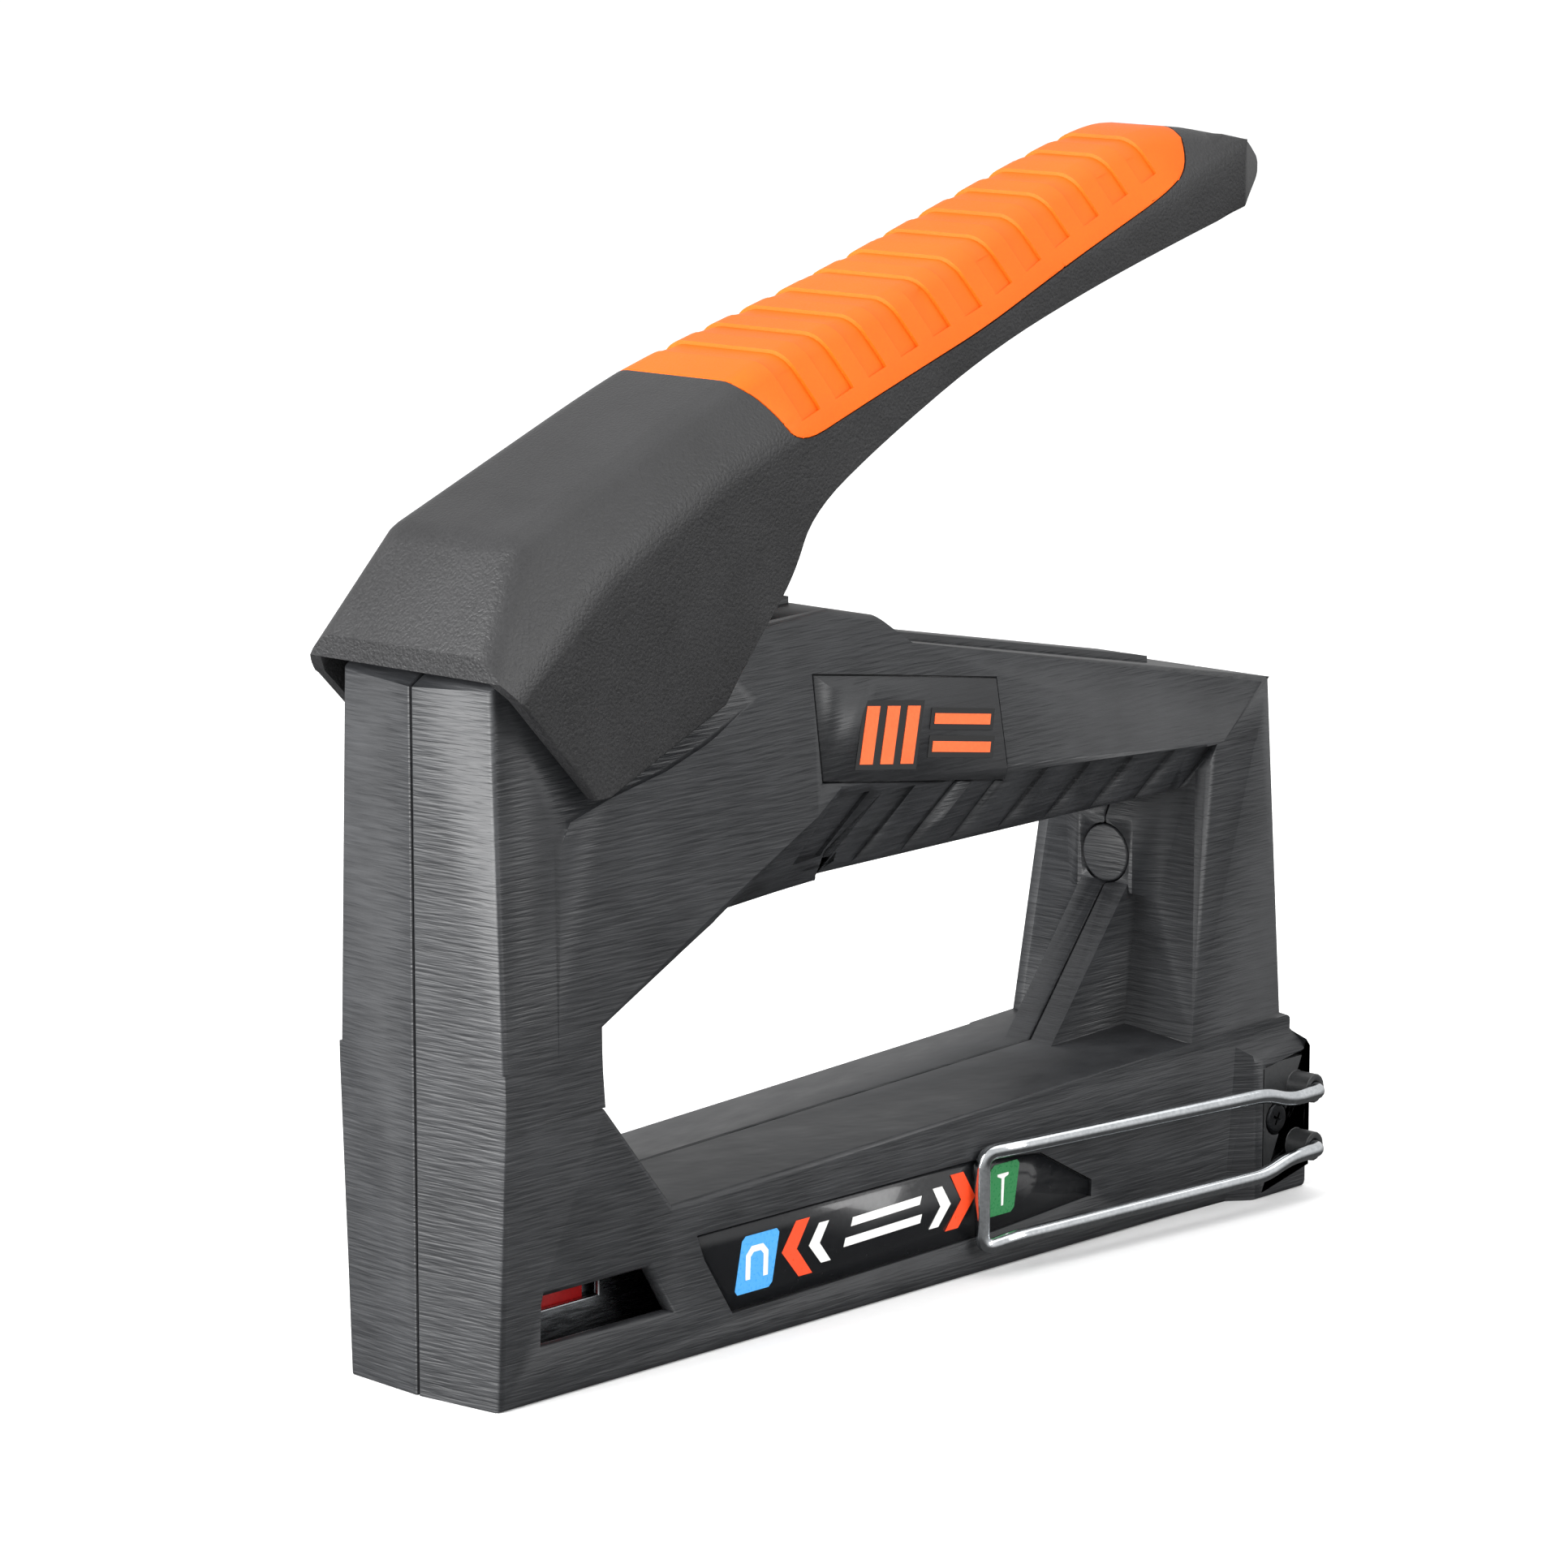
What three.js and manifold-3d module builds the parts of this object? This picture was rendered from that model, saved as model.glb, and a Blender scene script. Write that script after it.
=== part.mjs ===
// Hand staple gun: a moulded clamshell body with a squeeze lever, a spring-driven striker,
// a pull-out magazine and a wire belt hook. Millimetres, +Z up, nose toward -X.
import * as THREE from 'three';
import { mergeVertices } from 'three/addons/utils/BufferGeometryUtils.js';
import Module from 'manifold-3d';

const wasm = await Module();
wasm.setup();

// ---------------------------------------------------------------- driving dimensions (mm)
const LENGTH = 190;            // nose to the rear face of the belt-hook boss
const WALL = 2.6;              // moulded wall thickness
const SEAM_GAP = 0.3;          // gap between the two housing halves
const GAP = 0.3;               // clearance between pieces that touch
const NOSE_TOP = 108.5;        // top front edge of the nose column
const BEAM_FRONT_TOP = 25.3;   // height of the lower beam at the front of the handhole
const BEAM_REAR_TOP = 29.4;    // and at its rear
const GRIP_FRONT_BOTTOM = 68.3; // underside of the upper body at the front of the handhole
const GRIP_REAR_BOTTOM = 71.5;  // and at its rear
const PIVOT = { x: 36, z: 107 };   // squeeze-lever pin
const PIN_R = 3;
const ROD = { x: 11, r: 2 };     // lift rod of the striker
const TIP = { x: 12.9, z: 93.1, r: 3.5 };  // lifting tip of the lever core
const STAPLE_CROWN = 10.6;     // outside width of a heavy-duty staple
const CHANNEL_W = 14;          // outside width of the magazine channel
const CHANNEL_H = 17;
const SHEET = 1.1;             // sheet-steel thickness of the channel
const SEAT_Z = 84.5;           // underside of the power-spring seat
const WIRE_R = 1.25;           // belt-hook wire
const BOSS_Y = -22.2;          // outer face of the belt-hook boss
const PLUG_R = 4.9;            // round plug on the seam of the rear column
const PLUG_Z = 59.2;
const PLUG_FACE = 162;         // where its visible face stands
const SCREW_HEAD_R = 2.9;
const SCREW_SHANK_R = 1.5;
const SCREW_SEAT_Y = 11;       // plane that the housing screw heads pull against

// places (x, z) of the eight housing screws
const SCREWS = [[28, 70], [29, 22.5], [66, 92], [104, 90], [150, 82], [178, 56], [172, 23.6], [100, 22.3]];

// ---------------------------------------------------------------- materials
const finish = (color, roughness, metalness = 0) =>
  new THREE.MeshStandardMaterial({ color, roughness, metalness });
const housingPlastic = finish(0x3d3e3f, 0.55);
const leverPlastic = finish(0x343536, 0.6);
const gripRubber = finish(0xf8771c, 0.45);
const zinc = finish(0xc9ced4, 0.28, 1);
const steel = finish(0xa9adb1, 0.32, 1);
const darkSteel = finish(0x4a4c4f, 0.4, 1);
const springSteel = finish(0x8b8f94, 0.3, 1);
const blackRubber = finish(0x1c1c1d, 0.85);
const blackPlastic = finish(0x232425, 0.5);
const redPlastic = finish(0xb3201c, 0.45);
const printedFilm = finish(0x26282c, 0.3);
const badgeFilm = finish(0xf26a21, 0.4);

// ---------------------------------------------------------------- solids
/** Turn a closed three.js geometry into a solid that can be cut and joined. */
function toSolid(geometry) {
  const bare = geometry.index ? geometry.toNonIndexed() : geometry.clone();
  bare.deleteAttribute('normal');
  bare.deleteAttribute('uv');
  const merged = mergeVertices(bare, 1e-4);
  return new wasm.Manifold(new wasm.Mesh({
    numProp: 3,
    vertProperties: new Float32Array(merged.attributes.position.array),
    triVerts: new Uint32Array(merged.index.array),
  }));
}

/** Turn a solid back into a three.js geometry. */
function toGeometry(solid) {
  const mesh = solid.getMesh();
  const geometry = new THREE.BufferGeometry();
  geometry.setAttribute('position', new THREE.BufferAttribute(new Float32Array(mesh.vertProperties), 3));
  geometry.setIndex(new THREE.BufferAttribute(new Uint32Array(mesh.triVerts), 1));
  geometry.computeVertexNormals();
  return geometry;
}

/** A box between two corners. */
function box(x0, x1, y0, y1, z0, z1) {
  const g = new THREE.BoxGeometry(x1 - x0, y1 - y0, z1 - z0);
  g.translate((x0 + x1) / 2, (y0 + y1) / 2, (z0 + z1) / 2);
  return toSolid(g);
}

/** A side-view outline of [x, z] points, extruded across the object from y0 to y1. */
function slab(outline, y0, y1) {
  const shape = new THREE.Shape(outline.map(([x, z]) => new THREE.Vector2(x, z)));
  const g = new THREE.ExtrudeGeometry(shape, { depth: y1 - y0, bevelEnabled: false });
  g.rotateX(Math.PI / 2);
  g.translate(0, y1, 0);
  return toSolid(g);
}

/** A round bar along Y through (x, z). */
function barY(x, z, r, y0, y1, sides = 24) {
  const g = new THREE.CylinderGeometry(r, r, y1 - y0, sides);
  g.translate(x, (y0 + y1) / 2, z);
  return toSolid(g);
}

/** A round bar along Z through (x, y). */
function barZ(x, y, r, z0, z1, sides = 24) {
  const g = new THREE.CylinderGeometry(r, r, z1 - z0, sides);
  g.rotateX(Math.PI / 2);
  g.translate(x, y, (z0 + z1) / 2);
  return toSolid(g);
}

/** A round bar along X through (y, z). */
function barX(y, z, r, x0, x1, sides = 24) {
  const g = new THREE.CylinderGeometry(r, r, x1 - x0, sides);
  g.rotateZ(Math.PI / 2);
  g.translate((x0 + x1) / 2, y, z);
  return toSolid(g);
}

/** Keep the part of a solid where normal . p <= distance. */
function trim(solid, normal, distance) {
  const n = new THREE.Vector3(...normal);
  const scale = n.length();
  n.divideScalar(scale);
  const g = new THREE.BoxGeometry(800, 800, 800);
  g.translate(0, 0, 400 + distance / scale);
  g.applyQuaternion(new THREE.Quaternion().setFromUnitVectors(new THREE.Vector3(0, 0, 1), n));
  return solid.subtract(toSolid(g));
}

/** Trim both sides so that the half width is at most a + b x + c z, less an inset. */
function trimSides(solid, [a, b, c], inset = 0) {
  const room = a - inset * Math.hypot(b, 1, c);
  return trim(trim(solid, [-b, 1, -c], room), [-b, -1, -c], room);
}

/** Move every edge of a closed outline (listed anticlockwise) inward by d. */
function insetOutline(outline, d) {
  const n = outline.length;
  return outline.map((p, i) => {
    const a = outline[(i + n - 1) % n];
    const b = outline[(i + 1) % n];
    const u = new THREE.Vector2(p[0] - a[0], p[1] - a[1]).normalize();
    const v = new THREE.Vector2(b[0] - p[0], b[1] - p[1]).normalize();
    const k = d / (1 + u.dot(v));
    return [p[0] - (u.y + v.y) * k, p[1] + (u.x + v.x) * k];
  });
}

/** Points of an arc in side view, from angle t0 to t1 in degrees. */
function arc(x, z, r, t0, t1, steps) {
  const points = [];
  for (let i = 0; i <= steps; i += 1) {
    const t = THREE.MathUtils.degToRad(t0 + (t1 - t0) * i / steps);
    points.push([x + r * Math.cos(t), z + r * Math.sin(t)]);
  }
  return points;
}

/** A path through corner points with every inner corner rounded to the given radius. */
function roundedPath(corners, radius) {
  const pts = corners.map((p) => new THREE.Vector3(...p));
  const path = new THREE.CurvePath();
  let start = pts[0];
  for (let i = 1; i < pts.length - 1; i += 1) {
    const back = pts[i - 1].clone().sub(pts[i]);
    const ahead = pts[i + 1].clone().sub(pts[i]);
    const r = Math.min(radius, back.length() * 0.48, ahead.length() * 0.48);
    const from = pts[i].clone().add(back.setLength(r));
    const to = pts[i].clone().add(ahead.setLength(r));
    path.add(new THREE.LineCurve3(start, from));
    path.add(new THREE.QuadraticBezierCurve3(from, pts[i], to));
    start = to;
  }
  path.add(new THREE.LineCurve3(start, pts[pts.length - 1]));
  return path;
}

/** A round wire along a path. */
function wire(path, r, steps, sides = 8) {
  const circle = new THREE.Shape();
  circle.absarc(0, 0, r, 0, Math.PI * 2);
  return new THREE.ExtrudeGeometry(circle, {
    steps, curveSegments: sides / 2, extrudePath: path, bevelEnabled: false,
  });
}

/** The centre line of a helix about +Z with closed (flat) end turns. */
class Helix extends THREE.Curve {
  constructor(radius, height, turns) {
    super();
    Object.assign(this, { radius, height, turns });
  }

  getPoint(t, target = new THREE.Vector3()) {
    const a = t * this.turns * Math.PI * 2;
    const rise = THREE.MathUtils.smoothstep(t, 0, 1) * 0.35 + t * 0.65;
    return target.set(this.radius * Math.cos(a), this.radius * Math.sin(a), rise * this.height);
  }
}

/** Mesh with a name, from a solid or a geometry. */
function piece(name, shape, material) {
  const geometry = shape.isBufferGeometry ? shape : toGeometry(shape);
  const mesh = new THREE.Mesh(geometry, material);
  mesh.name = name;
  return mesh;
}

const union = (...solids) => solids.reduce((a, b) => a.add(b));

// ---------------------------------------------------------------- housing
// Half widths as planes a + b x + c z: the sides lean out up to mid nose and in above it. The web
// behind the nose stays wider, so the lever's cheeks have a lower face to sweep over.
const LOWER_SIDE = [16.2, 0.0142, 0.035];
const UPPER_SIDE = [19.45, 0.0142, -0.034];
const WEB_SIDE = [17.86, 0.0142, -0.0034];
const SHOULDER_SIDE = [34.37, -0.0743, -0.1309];
const BAND_SIDE = [34.02, -0.0207, -0.1747];
const COLUMN_SIDE = [28.28, -0.0457, -0.0468];
const THROAT_SIDE = [1.39, -0.204, 0.3732];
const GRIP_UNDERSIDE = [-15.79, 0.0154, 0.379];
const PROW_SLOPE = 0.085;      // the nose front is a shallow V with its ridge on the seam
const BEAM_CROWN = 0.094;      // roof slope of the beam top, each side of the seam

const HUMP = [[60, 112], [77, 112.4], [88.5, 110], [97, 104.6]];
const NOSE_OUTLINE = [
  [0, 0], [37.8, 0], [37.8, BEAM_FRONT_TOP], [26.5, 38.8], [22.4, 43.6], [22.4, 55.8],
  [46, GRIP_FRONT_BOTTOM], [76, 85], ...HUMP.slice().reverse(), [3, 110.3], [0, NOSE_TOP],
];
const THROAT_OUTLINE = [[46, GRIP_FRONT_BOTTOM], [97, 69.9], [97, 104.6], [60, 104], [38, 78], [38, 64.2]];
const SWEEP_OUTLINE = [
  [-3, 45], [12.5, 45], [13.4, 84.5], [15.5, 88.2], [24, 90.6], [36, 93.1], [44.4, 95.9], [55.2, 100.6],
  [67, 104.2], [67, 125], [-3, 125],
];
const UPPER_OUTLINE = [
  [59, 68.8], [172, GRIP_REAR_BOTTOM + 0.2], [180, 74], [186.2, 88],
  ...HUMP.slice(1).reverse(), [59, 112],
];
const COLUMN_OUTLINE = [
  [150, 0], [188, 0], [187.5, 30], [186.2, 88], [172.7, 78.9], [168, 79],
  [161.5, BEAM_REAR_TOP], [150, BEAM_REAR_TOP - 0.5],
];
const BEAM_OUTLINE = [[20, 0], [188, 0], [187.8, 31], [161, 31.1], [37, 26.9], [20, 26]];

/** The outer form of the whole body, with every face moved inward by an inset. */
function bodyForm(inset = 0) {
  const raw = (outline) => slab(insetOutline(outline, inset), -30, 30);
  const sides = (solid, planes) => planes.reduce((s, plane) => trimSides(s, plane, inset), solid);
  const swept = raw(SWEEP_OUTLINE);
  let nose = sides(raw(NOSE_OUTLINE), [LOWER_SIDE, WEB_SIDE, SHOULDER_SIDE])
    .subtract(swept.subtract(sides(swept, [UPPER_SIDE])));
  const prow = -inset * Math.hypot(1, PROW_SLOPE);
  nose = trim(nose, [-1, PROW_SLOPE, 0], prow);
  nose = trim(nose, [-1, -PROW_SLOPE, 0], prow);
  const throat = sides(raw(THROAT_OUTLINE), [WEB_SIDE, SHOULDER_SIDE, THROAT_SIDE]);
  const upper = sides(raw(UPPER_OUTLINE), [LOWER_SIDE, UPPER_SIDE, BAND_SIDE, GRIP_UNDERSIDE]);
  const column = sides(raw(COLUMN_OUTLINE), [LOWER_SIDE, COLUMN_SIDE]);
  let beam = sides(raw(BEAM_OUTLINE), [LOWER_SIDE]);
  const crown = 25.7 - inset;
  beam = trim(beam, [-0.0332, BEAM_CROWN, 1], crown);
  beam = trim(beam, [-0.0332, -BEAM_CROWN, 1], crown);
  return union(nose, throat, upper, column, beam);
}

/** A layer that follows the body surface between two depths, inside a side-view outline. */
function skin(outline, side, outer, inner) {
  const window = side < 0 ? slab(outline, -30, -8) : slab(outline, 8, 30);
  return window.intersect(bodyForm(outer)).subtract(bodyForm(inner));
}

const LABEL_OUTLINE = [
  [45, 15.4], [51.5, 5.6], [113, 6.6], [136.5, 8], [136.5, 10.4], [123.5, 17.4], [107, 19.2], [43.4, 19.2],
];
const BADGE_OUTLINE = [[71.5, 86.4], [116, 80.4], [116, 96.6], [71.5, 102.8]];
const WINDOW_OUTLINE = [[9.5, 8.6], [37.5, 8.6], [32.5, 16.4], [9.5, 16.4]];

/** Material left standing inside the hollow body: screw pillars, pin bosses and shelves. */
function pillars() {
  const columns = SCREWS.map(([x, z]) => barY(x, z, 3.5, -30, 30, 16));
  return union(
    ...columns,
    barY(PIVOT.x, PIVOT.z, 6.2, -30, -9, 20),
    barY(PIVOT.x, PIVOT.z, 6.2, 9, 30, 20),
    box(6.3, 24, -30, 30, 24.4, 27.6),
    box(2, 24, -30, -10.2, SEAT_Z + 2.8, SEAT_Z + 5.4),
    box(2, 24, 10.2, 30, SEAT_Z + 2.8, SEAT_Z + 5.4),
  );
}

/** Everything that is cut out of the body: the hollow, the magazine way and the openings. */
function bodyCuts() {
  const hollow = bodyForm(WALL).subtract(pillars());
  const half = CHANNEL_W / 2 + GAP;
  return union(
    hollow,
    box(2.6, 195, -half, half, -5, CHANNEL_H + GAP),
    box(183.8, 195, -9.6, 9.6, -5, 20.6),
    box(2.7, 10, -7.4, 7.4, -5, 62),
    box(4, 65.5, -9.6, 9.6, 98, 116),
    slab(WINDOW_OUTLINE, -30, 30),
    barY(PIVOT.x, PIVOT.z, PIN_R + 0.1, -30, 30),
    barX(0, PLUG_Z, PLUG_R + GAP, 155, 166.3, 32),
  );
}

/** The boss on the left side that carries the belt hook. */
function hookBoss() {
  let boss = slab([[171, 0], [LENGTH, 0], [LENGTH, 24.4], [187.4, 31], [172, 31]], BOSS_Y, -12);
  boss = trim(boss, [-1, -1.25, 0], -148.8);
  boss = trim(boss, [0, -0.9, 1], 44.4);
  return boss;
}

/** Face around the round plug, and the ridge that flares from it down onto the beam top. */
function columnRidge() {
  const face = slab([[PLUG_FACE, 53], [172, 50], [172, 74], [166.5, 74], [PLUG_FACE, 66]], -30, 30);
  const ridge = slab([[PLUG_FACE, 54.5], [142, 29.6], [172, 29.6], [172, 54.5]], -5, 5);
  return trimSides(trimSides(face, [5.9 - 1.5 * PLUG_FACE, 1.5, 0]), COLUMN_SIDE).add(ridge);
}

/** Raised spine strips on top of the body. */
function spine() {
  return union(
    slab([[67, 111], [77, 111.4], [77, 113.5], [67, 113.3]], -5.4, 5.4),
    slab([[98, 102], [166, 90.4], [166, 92.9], [99, 105.4]], -5.4, 5.4),
  );
}

/** One half of the clamshell; side is -1 for the left half and +1 for the right. */
function housing(side) {
  let solid = union(bodyForm(), columnRidge(), spine());
  if (side < 0) {
    solid = solid.add(hookBoss());
  }
  solid = solid.subtract(bodyCuts());
  solid = solid.subtract(skin(insetOutline(LABEL_OUTLINE, -GAP), side, -1, 0.9));
  solid = solid.subtract(skin(insetOutline(BADGE_OUTLINE, -GAP), side, -1, 0.7));
  for (const [x, z] of SCREWS) {
    const bore = side < 0
      ? barY(x, z, SCREW_SHANK_R + 0.2, -12, 1, 12)
      : union(barY(x, z, SCREW_SHANK_R + 0.2, -1, 12, 12), barY(x, z, SCREW_HEAD_R + 0.3, SCREW_SEAT_Y, 30, 16));
    solid = solid.subtract(bore);
  }
  if (side < 0) {
    solid = solid.subtract(box(177.7, 189.5, BOSS_Y - 1, BOSS_Y + 3.1, 4.7, 23.5));
    solid = solid.subtract(barY(181.5, 13.3, 1.6, BOSS_Y - 1, -13, 12));
    return trim(solid, [0, 1, 0], -SEAM_GAP / 2);
  }
  return trim(solid, [0, -1, 0], -SEAM_GAP / 2);
}

/** Round captive plug that closes the coring hole in the rear column, on the seam. */
const seamPlug = () => barX(0, PLUG_Z, PLUG_R, PLUG_FACE, PLUG_FACE + 4, 32);

/** Housing screw: pan head in the counterbore of the right half, shank into the left pillar. */
function housingScrew([x, z]) {
  const head = barY(x, z, SCREW_HEAD_R, SCREW_SEAT_Y + 0.1, SCREW_SEAT_Y + 2.3, 16);
  return head.add(barY(x, z, SCREW_SHANK_R, -10.5, SCREW_SEAT_Y + 0.2, 12));
}

// ---------------------------------------------------------------- belt hook
const HOOK_Z = { low: 8.2, mid: 13.3, high: 18.3 };
const EAR_X = 186.6;

/** Moulded plate let into the boss, with two ears that hold the wire ends. */
function hookPlate() {
  let plate = box(178, 189.2, BOSS_Y, BOSS_Y + 2.8, 5, 23.2);
  for (const z of [HOOK_Z.low, HOOK_Z.high]) {
    plate = plate.add(barY(EAR_X, z, 2.5, -26.4, BOSS_Y + 0.1, 16));
    plate = plate.subtract(barY(EAR_X, z, WIRE_R + 0.15, -27, -21, 16));
  }
  return plate.subtract(barY(181.5, HOOK_Z.mid, 1.7, -23, -19, 12))
    .subtract(barY(181.5, HOOK_Z.mid, 2.9, BOSS_Y - 0.1, BOSS_Y + 1.2, 16));
}

/** The bent wire: two legs from the ears to a crossbar that closes against the body side. */
function beltHook() {
  const half = [
    [EAR_X, -21.6, HOOK_Z.high], [EAR_X, -28.2, HOOK_Z.high], [177.5, -28.2, HOOK_Z.high],
    [171, -28, 20.3], [112.5, -22.4, 21.2], [108, -19.5, 20.6],
  ];
  const lower = [
    [108, -19.5, 4.6], [112.5, -22.4, 6.2], [171, -28, 6.4],
    [177.5, -28.2, HOOK_Z.low], [EAR_X, -28.2, HOOK_Z.low], [EAR_X, -21.6, HOOK_Z.low],
  ];
  return wire(roundedPath([...half, ...lower], 2.6), WIRE_R, 100, 8);
}

/** Countersunk screw that holds the hook plate in the boss. */
function hookScrew() {
  const head = barY(181.5, HOOK_Z.mid, 2.6, BOSS_Y - 0.2, BOSS_Y + 0.9, 16);
  return head.add(barY(181.5, HOOK_Z.mid, 1.4, BOSS_Y + 0.8, -13.6, 12));
}

// ---------------------------------------------------------------- lever
const LEVER_SIDE = [21.9, -0.047, 0];
const LEVER_OUTLINE = [
  [-1.2, 111.2], [1.8, 107.9], [17.9, 91.6], [21.6, 91.6], [47.7, 101.8], [55, 110.8], [63.4, 119.4],
  [68, 129], [85.4, 138.2], [112, 149.8], [141, 158.2], [174, 166], [200.8, 171.6],
  [183, 178.4], [166, 182], [152, 178.6], [134.7, 173], [99, 160.8], [57, 150.2], [9, 130.4], [-1.6, 114.8],
];
const GRIP_OUTLINE = [
  [71.5, 139.2], [112, 155.8], [140, 164], [159, 170.6], [167, 175], [169.5, 184.5], [140, 184.5],
  [100, 170], [50, 156], [57, 149.2], [64, 147],
];
const CORE_TOP = [[52, 138], [62, 143.4], [99, 154], [134, 166], [150, 171.2]];
const CORE_BOTTOM = [[46, 110], [54, 120], [62, 130], [74, 137.6], [99, 148], [134, 160], [150, 165.4]];
const CHEEK = 2.4;             // wall of the hood
const CORE_HALF = 8;
const CORE_SHEET = 2;
const CORE_PINS = [[88, 147], [140, 165]];

// Each row is a unit normal for y > 0 and its distance: the bevel beside the hood's top, the corner
// beside its front face, the bevel beside the handle's top and the rounding of the tail.
const LEVER_BEVELS = [
  [[-0.22, 0.775, 0.593], 85.9],
  [[-0.321, 0.835, 0.447], 66.8],
  [[-0.129, 0.82, 0.558], 86.4],
  [[0.5, 0.866, 0], 105.4],
];

/** Trim a solid by the lever's sides and bevels, each moved inward by an inset. */
function trimToLever(solid, inset) {
  return LEVER_BEVELS.reduce((s, [[x, y, z], d]) => {
    const near = trim(s, [x, -y, z], d - inset);
    return trim(near, [x, y, z], d - inset);
  }, trimSides(solid, LEVER_SIDE, inset));
}

/** The outer form of the lever, with every face moved inward by an inset. */
const leverForm = (inset = 0) => trimToLever(slab(insetOutline(LEVER_OUTLINE, inset), -30, 30), inset);

/** Black lever moulding: a hood over the nose top that narrows into the handle. */
function leverArm() {
  const hood = [
    [-6, 60], [78, 60], [78, 137.4], [72, 146], [57, 146.6],
    [12, 128.2], [1.6, 114], [1.6, 111.2], [-6, 111.2],
  ];
  const coreWay = [[60, 100], [151, 100], [151, 172.4], [134, 166.9], [99, 154.8], [60, 143.6]];
  let arm = leverForm()
    .subtract(slab(insetOutline(GRIP_OUTLINE, -GAP), -30, 30).subtract(leverForm(2.5)))
    .subtract(trimToLever(slab(hood, -30, 30), CHEEK))
    .subtract(slab(coreWay, -CORE_HALF - 0.5, CORE_HALF + 0.5));
  for (const [y0, y1] of [[-30, -17], [17, 30]]) {
    arm = arm.add(trimSides(barY(PIVOT.x, PIVOT.z, 6, y0, y1), LEVER_SIDE, 0.5));
  }
  arm = arm.subtract(barY(PIVOT.x, PIVOT.z, PIN_R + 0.1, -19.1, 19.1));
  for (const [x, z] of CORE_PINS) {
    arm = arm.subtract(barY(x, z, 2.1, -10.8, 10.8, 16));
  }
  return arm;
}

/** Soft over-moulded grip that saddles the handle. */
const leverGrip = () => leverForm().intersect(slab(GRIP_OUTLINE, -30, 30)).subtract(leverForm(2.2));

/** Pin that the squeeze lever turns on, held by both housing halves. */
const leverPin = () => barY(PIVOT.x, PIVOT.z, PIN_R, -18.9, 18.9, 28);

/** Steel lever core: a channel in the handle whose two cheeks turn on the pin and lift the rod. */
function leverCore() {
  const outline = [
    ...arc(TIP.x, TIP.z, TIP.r, 90, 300, 10),
    [24, 94.5],
    ...arc(PIVOT.x, PIVOT.z, 7.5, 250, 340, 5),
    ...CORE_BOTTOM,
    ...CORE_TOP.slice().reverse(),
    [30, 118], [22, 111], [17.6, 102], [16.6, 96.6],
  ];
  const inner = CORE_HALF - CORE_SHEET;
  const between = [
    [-5, 60], [160, 60], [160, 172.4], [134, 163.9], [99, 151.9], [62, 141.3], [50, 135], [40, 160], [-5, 160],
  ];
  let core = slab(outline, -CORE_HALF, CORE_HALF)
    .subtract(slab(between, -inner, inner))
    .subtract(barY(PIVOT.x, PIVOT.z, PIN_R + 0.1, -10, 10));
  for (const [x, z] of CORE_PINS) {
    core = core.subtract(barY(x, z, 2.1, -12, 12, 16));
  }
  return core;
}

/** Cross pin that ties the core to the moulding. */
const corePin = ([x, z]) => barY(x, z, 2, -10.5, 10.5, 16);

/** Return spring: a torsion coil on the lever pin with one leg each way. */
function returnSpring() {
  const r = 4.4;
  const turns = 3.5;
  const halfWidth = 3.2;
  const perTurn = 12;
  const points = [[PIVOT.x - 12, -halfWidth, PIVOT.z - r]];
  for (let i = 0; i <= turns * perTurn; i += 1) {
    const t = -Math.PI / 2 - i * Math.PI * 2 / perTurn;
    const y = -halfWidth + 2 * halfWidth * i / (turns * perTurn);
    points.push([PIVOT.x + r * Math.cos(t), y, PIVOT.z + r * Math.sin(t)]);
  }
  points.push([PIVOT.x + 9, halfWidth, PIVOT.z + r + 1]);
  const path = new THREE.CatmullRomCurve3(points.map((p) => new THREE.Vector3(...p)));
  return wire(path, 0.6, 80, 6);
}

// ---------------------------------------------------------------- striker
const HAMMER = { z0: 34, z1: 45 };
const SPRING = { z0: 46.3, z1: SEAT_Z - 1.3, r: 4.4, wire: 0.9, turns: 8 };

/** Hammer block with a bore for the lift rod and a cross bore for the blade rivet. */
function hammer() {
  return box(5.6, 17, -8, 8, HAMMER.z0, HAMMER.z1)
    .subtract(barZ(ROD.x, 0, ROD.r + 0.1, 37, 50, 20))
    .subtract(barX(0, 35.6, 1.1, 0, 10, 12));
}

/** Hardened driver blade, as wide as a staple crown. */
const driverBlade = () => box(4.4, 5.3, -STAPLE_CROWN / 2 + 0.1, STAPLE_CROWN / 2 - 0.1, 1.2, 44)
  .subtract(barX(0, 35.6, 1.1, 0, 10, 12));

/** Rivet through blade and hammer. */
const bladeRivet = () => barX(0, 35.6, 1, 4.45, 9.6, 12);

/** Lift rod: a round rod with a crossbar head that the lever core pulls up. */
function liftRod() {
  const head = TIP.z + TIP.r + GAP;
  return barZ(ROD.x, 0, ROD.r, 37.3, head + 0.1, 20).add(box(ROD.x - 4, ROD.x + 4, -8.6, 8.6, head, head + 4));
}

/** Main power spring between hammer and seat. */
function powerSpring() {
  const { z0, z1, r, wire: w, turns } = SPRING;
  const g = wire(new Helix(r, z1 - z0, turns), w, turns * 14, 6);
  g.translate(ROD.x, 0, z0);
  return g;
}

/** Steel plate that the spring pushes against; its edges sit under ribs in the housing. */
const springSeat = () => box(4.2, 23, -12, 12, SEAT_Z, SEAT_Z + 2.5)
  .subtract(barZ(ROD.x, 0, ROD.r + 0.5, SEAT_Z - 2, SEAT_Z + 5, 20));

/** Rubber buffer that stops the hammer. */
const bumper = () => box(6.6, 17.6, -7.5, 7.5, 27.9, 33.7);

/** Front guide plate that the driver blade runs against. */
const driverGuide = () => box(2.95, 4.05, -7, 7, 0.3, 60);

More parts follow.
